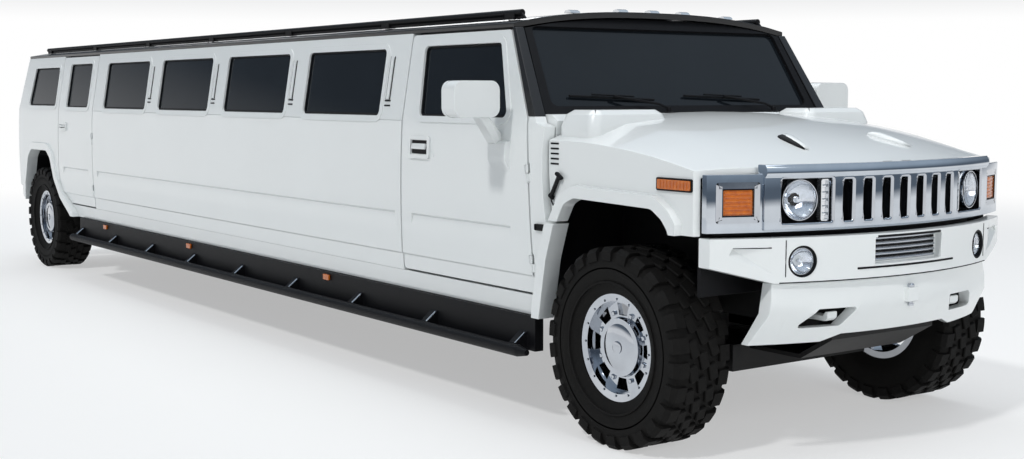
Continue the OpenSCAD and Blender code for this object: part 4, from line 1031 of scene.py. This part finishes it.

# %% Seams of the bumper, rings of the fog lamps and the painted shadow of each end recess
SEAM_Y, SEAM_FROM, SEAM_TO, SEAM_STEPS = -0.645, 0.795, 0.945, 6
RECESS_SHADOW_Z, RECESS_SHADOW_LINE = 0.9155, (-0.848, -0.82, -0.78, -0.74, -0.705)
FOG_UNDER = 0.14
fog_low, fog_high = next(box for box in round_boxes if box[1].z - box[0].z < FOG_UNDER)
fog_r = (fog_high.z - fog_low.z) / 2
FOG_LINE = [(fog_r * r, z) for r, z in ((0.97, -0.010), (0.99, 0.004), (1.10, 0.008), (1.16, 0.002),
                                        (1.16, -0.010), (0.97, -0.010))]
fog_front, fog_out = front_of("front_lamps", *middle_of(fog_low, fog_high)[1:])
seam_levels = [SEAM_FROM + (SEAM_TO - SEAM_FROM) * k / SEAM_STEPS for k in range(SEAM_STEPS + 1)]
seam = [front_of("front_bumper", SEAM_Y, z)[0] for z in seam_levels]
# A thin black rod along the top edge of each end recess paints the shadow that falls there.
lip = [front_of("front_bumper", y, RECESS_SHADOW_Z)[0] for y in RECESS_SHADOW_LINE]
for side in SIDES:
    mirror = side_mirror(side)
    fit(f"bumper_seam_and_shadow_{side}", "black_trim", "body", (rod(seam, 0.0022, sides=8), mirror),
        (turned_shape(FOG_LINE), mirror @ standing_on(fog_front, fog_out, (0, -1, 0))),
        (rod(lip, 0.003, sides=8), mirror))
print("bumper seams", len(SIDES))

# %% [markdown]
# ## Running boards
# The step tube hangs on brackets, and a bright chrome rod on each bracket's edge paints the highlight that
# light puts there.
# The brackets stand at even steps along the board, and each strip follows the slope of its bracket.

# %% Painted highlights on bracket edges
BRACKETS, BRACKET_LONG, BRACKET_EDGE = 9, 0.060, 0.006
BRACKET_ENDS = (-0.998, -1.054)
board_from, board_to = REAR_X + 0.960, FRONT_X - 0.635 - BRACKET_LONG
for side in SIDES:
    strips = []
    for k in range(BRACKETS):
        x = board_from + (board_to - board_from) * k / (BRACKETS - 1) + BRACKET_LONG - BRACKET_EDGE
        ends = [touch("running_boards", (x, y, 3), (0, 0, -1))[0] for y in BRACKET_ENDS]
        # Each chrome rod is a painted highlight along the lit edge of a bracket.
        strips.append((rod([end + Vector((0, 0, 0.001)) for end in ends], 0.005, sides=8), side_mirror(side)))
    fit(f"step_glints_{side}", "chrome", "body", *strips)
print("bracket strips", BRACKETS * len(SIDES))

# %% [markdown]
# ## Trim beside the long windows
# Each window of the stretched part has a ribbed strip ahead of it: a raised band, with black rods beside it
# that paint the shade of two grooves and of two short dashes at its foot. The places come from the boxes of
# the panes.

# %% Ribbed strips
STRIP_FROM, STRIP_TO, STRIP_FOOT, STRIP_HEAD = 0.052, 0.092, 0.085, 0.045
DASHES = (-0.032, -0.006)
band_low, band_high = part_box("window_bands")
pane_boxes = [(low, high) for low, high in solids_of("side_glass")
              if high.y < 0 and low.x > band_low.x and high.x + STRIP_TO < band_high.x]


def wall_line(start, end, radius):
    """A rod on the right wall between two places, each given as x and z."""
    points = []
    for x, z in (start, end):
        spot, normal = touch("window_bands", (x, -3, z), (0, 1, 0))
        points.append(spot + 0.001 * normal)
    return rod(points, radius, sides=8)


for side in SIDES:
    groove_shade, bands = [], []
    for low, high in pane_boxes:
        back, ahead = high.x + STRIP_FROM, high.x + STRIP_TO
        foot, head = low.z + STRIP_FOOT, high.z - STRIP_HEAD
        # Black rods paint the shade of the grooves beside each band and of the dashes at its foot.
        groove_shade += [(wall_line((x, foot), (x, head), 0.0032), side_mirror(side)) for x in (back, ahead)]
        groove_shade += [(wall_line((back - 0.004, foot + lower), (ahead + 0.010, foot + lower), 0.0045),
                     side_mirror(side)) for lower in DASHES]
        bands.append((rounded_plate(ahead - back - 0.012, head - foot, 0.004, 0.006), side_mirror(side)
                      @ on_side("window_bands", (back + ahead) / 2, (foot + head) / 2)))
    fit(f"strip_groove_shade_{side}", "black_trim", "body", *groove_shade)
    fit(f"strip_bands_{side}", "paint_white", "body", *bands)
print("ribbed strips", len(pane_boxes) * len(SIDES))

# %% [markdown]
# ## Mirrors
# The glass of a door mirror sits inside a thin lip on the rear face of its housing.
# A dished plate makes the lip, a second plate the glass, and a thin rod the seam of the housing's halves.

# %% Mirror glass and seam
MIRROR_X, MIRROR_Y, MIRROR_Z = FRONT_X - 0.790, -1.1975, 1.510
HEAD_WIDE, HEAD_HIGH, HEAD_CORNER = 0.255, 0.170, 0.045
MIRROR_SEAM_R, SEAM_BACK, LIP_IN, GLASS_IN = 0.0013, 0.028, 0.024, 0.046
spot, normal = touch("door_front_right", (MIRROR_X - 1, MIRROR_Y, MIRROR_Z), (1, 0, 0))
outline = rounded_outline(HEAD_WIDE - 2 * MIRROR_SEAM_R, HEAD_HIGH, HEAD_CORNER)
seam = [(MIRROR_X - SEAM_BACK, MIRROR_Y + across, MIRROR_Z + up) for across, up in outline]
for side in SIDES:
    place = side_mirror(side) @ standing_on(spot, normal, (0, -1, 0))
    fit(f"mirror_lip_{side}", "black_trim", f"door_front_{side}",
        (dished_plate(HEAD_WIDE - LIP_IN, HEAD_HIGH - LIP_IN, 0.036, 0.006, 0.010, 0.004), place),
        (rod(seam, MIRROR_SEAM_R, sides=6), side_mirror(side)))
    fit(f"mirror_glass_{side}", "chrome", f"door_front_{side}",
        (rounded_plate(HEAD_WIDE - GLASS_IN, HEAD_HIGH - GLASS_IN, 0.027, 0.0035), place))
print("mirrors", len(SIDES))

# %% [markdown]
# ## Back of the car
# The tail lamps are ribbed red lenses with a clear band for reversing, each in a rubber ring.
# A narrow panel closes the roof's rear end and carries a stop lamp.
# The tailgate has a sunk handle and one wiper, and the bumper a ribbed step pad with the tailpipe below it.
# None of this shows in the photograph, so it follows what such cars have there.

# %% Tail lamp lenses
LENS_RIBS, CLEAR_RIB, LENS_IN = 10, 2, 0.016
for low, high in solids_of("tail_lamps"):
    if high.y > 0:
        continue
    wide, tall = high.y - low.y, high.z - low.z
    middle = on_back("tail_lamps", *middle_of(low, high)[1:])
    for side in SIDES:
        place = side_mirror(side) @ middle
        fit(f"tail_gasket_{side}", "black_trim", "body", (gasket_ring(wide, tall), place @ at(0, 0, -0.006)))
        ups = spread(LENS_RIBS, tall / (LENS_RIBS + 0.5))
        red = [(rounded_block((wide - LENS_IN, tall / LENS_RIBS * 0.8, 0.010), 0.003), place @ at(0, up, 0))
               for k, up in enumerate(ups) if k != CLEAR_RIB]
        fit(f"tail_ribs_{side}", "lamp_red", "body", *red)
        clear = rounded_block((wide - LENS_IN, tall / LENS_RIBS * 0.9, 0.012), 0.003)
        fit(f"tail_clear_{side}", "lamp_clear", "body", (clear, place @ at(0, ups[CLEAR_RIB], 0)))
print("tail lamps", len(SIDES))

# %% Rear end of the roof
HEADER_IN, HEADER_THICK, HEADER_SHORT, ARCH_STEPS = 0.030, 0.014, 0.060, 24
STOP_SEGMENTS, STOP_PITCH = 12, 0.023
roof_low, roof_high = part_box("roof")
frame_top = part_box("rear_frame")[1].z
header_x = roof_low.x + HEADER_IN
arch = []
for k in range(ARCH_STEPS + 1):
    y = (k / ARCH_STEPS * 2 - 1) * (roof_high.y - HEADER_SHORT)
    spot, _ = touch("roof", (header_x, y, frame_top - 0.5), (0, 0, 1))
    arch.append((header_x, y, spot.z + 0.003))
closing = bmesh.new()
feet = [(header_x, arch[end][1], frame_top - 0.004) for end in (-1, 0)]
face = closing.faces.new([closing.verts.new(point) for point in arch + feet])
grown = bmesh.ops.extrude_face_region(closing, geom=[face])
bmesh.ops.translate(closing, vec=(HEADER_THICK, 0, 0), verts=corners_of(grown))
bmesh.ops.recalc_face_normals(closing, faces=closing.faces)
add_piece("roof_header", closing, "roof_black", "body")
lamp_z = (frame_top + arch[ARCH_STEPS // 2][2]) / 2
place = standing_on((header_x, 0, lamp_z), (-1, 0, 0), (0, -1, 0))
segments = [(rounded_block((0.016, 0.018, 0.004), 0.0015), place @ at(across, 0, 0.008))
            for across in spread(STOP_SEGMENTS, STOP_PITCH)]
fit("stop_lamp", "lamp_red", "body", (rounded_plate(0.300, 0.026, 0.008, 0.008), place), *segments)
print("roof header points", len(arch))

# %% Tailgate handle and wiper
GATE_HANDLE_Z, GATE_PIVOT_UP = 1.060, 0.050
GATE_REACH, GATE_BLADE, GATE_RISE = 0.28, 0.20, 0.03
GATE_PIVOT_LINE = ((0.0, 0.030), (0.012, 0.029), (0.016, 0.020), (0.016, 0.006), (0.024, 0.003),
                   (0.024, -0.002), (0.0, -0.002))
handle = on_back("tailgate", 0.0, GATE_HANDLE_Z)
fit("gate_cup", "black_trim", "tailgate", (dished_plate(0.260, 0.095, 0.020, 0.012, 0.018, 0.0105), handle))
fit("gate_pull", "chrome", "tailgate",
    (rounded_block((0.190, 0.026, 0.012), 0.004), handle @ at(0, 0.008, 0.010)))
pivot_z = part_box("tailgate_glass")[0].z + GATE_PIVOT_UP


def on_gate_glass(y, up, off):
    spot, normal = touch("tailgate_glass", (cad_low.x - 1, y, pivot_z + up), (1, 0, 0))
    return spot + off * normal


arm = [on_gate_glass(y, up, off) for y, up, off in (
    (0.0, 0.0, 0.024), (0.10, 0.01, 0.030), (GATE_REACH, GATE_RISE, 0.022))]
blade = [on_gate_glass(GATE_REACH + along * GATE_BLADE, GATE_RISE + 0.010 * along, 0.010)
         for along in ALONG_BLADE]
fit("gate_wiper", "black_trim", "tailgate",
    (turned_shape(GATE_PIVOT_LINE, steps=24), on_back("tailgate_glass", 0.0, pivot_z)),
    (rod(arm, 0.006), HERE), (rod(blade, 0.0055, sides=8), HERE))
print("tailgate fittings", 3)

# %% Step pad and tailpipe
PAD_RIBS, PAD_LONG, PAD_IN = 25, 1.25, 0.085
pad = on_top("rear_bumper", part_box("rear_bumper")[0].x + PAD_IN, 0.0)
ribs = [(rounded_block((0.062, 0.014, 0.006), 0.002), pad @ at(0, across, 0.005))
        for across in spread(PAD_RIBS, (PAD_LONG - 0.05) / (PAD_RIBS - 1))]
fit("step_pad", "black_trim", "body", (dished_plate(0.090, PAD_LONG, 0.020, 0.006, 0.008, 0.003), pad), *ribs)

PIPE_Y, PIPE_R = -0.600, 0.032
PIPE_BENDS = ((0.15, 0.06, 0.640), (0.30, 0.03, 0.600), (0.45, 0.0, 0.520), (0.58, 0.0, 0.482))
HANGER_BACK, HANGER_LOW, HANGER_HIGH = 0.62, 0.500, 0.720
TIP_LINE = [(PIPE_R * r, z) for r, z in (
    (0.9, 0.0), (1.15, 0.0), (1.18, 0.12), (1.10, 0.125), (0.9, 0.10), (0.9, 0.0))]
pipe_end = (cad_low.x + 0.070, PIPE_Y, 0.475)
pipe = [(REAR_X - back, PIPE_Y + across, z) for back, across, z in PIPE_BENDS] + [pipe_end]
hanger = [(REAR_X - HANGER_BACK, PIPE_Y, z) for z in (HANGER_LOW, HANGER_HIGH)]
fit("tailpipe", "chassis", "body", (rod(pipe, PIPE_R, sides=24), HERE), (rod(hanger, 0.008, sides=8), HERE))
fit("tailpipe_tip", "chrome", "body",
    (turned_shape(TIP_LINE, steps=32), at(*pipe_end) @ turn(-90, "Y") @ at(0, 0, -0.07)))
print("step pad ribs", PAD_RIBS)

# %% [markdown]
# ## Below the engine
# A ribbed sump hangs below the engine between the front wheels.
# A pin with a round head goes through the tow eye in the middle of the bumper guard.

# %% Sump and tow pin
SUMP_RIBS, SUMP_PITCH = 7, 0.11
PLUG_LINE = ((0.0, -0.016), (0.020, -0.015), (0.024, -0.004), (0.024, 0.010), (0.0, 0.010))
PIN_LINE = ((0.0, 0.016), (0.010, 0.015), (0.015, 0.009), (0.015, 0.0), (0.0095, 0.0), (0.0095, -0.070),
            (0.014, -0.070), (0.014, -0.080), (0.0, -0.082))
middle = at(FRONT_X - 0.05, 0, 0.555)
ribs = [(rounded_block((0.020, 0.540, 0.250), 0.006), middle @ at(along, 0, 0))
        for along in spread(SUMP_RIBS, SUMP_PITCH)]
fit("sump", "chassis", "body", (rounded_block((0.900, 0.560, 0.240), 0.050, segments=4), middle), *ribs,
    (turned_shape(PLUG_LINE, steps=6), middle @ at(0.06, 0.1, -0.124)))
fit("tow_pin", "chrome", "body", (turned_shape(PIN_LINE, steps=24), at(cad_high.x - 0.016, 0, 0.717)))
print("sump ribs", SUMP_RIBS)
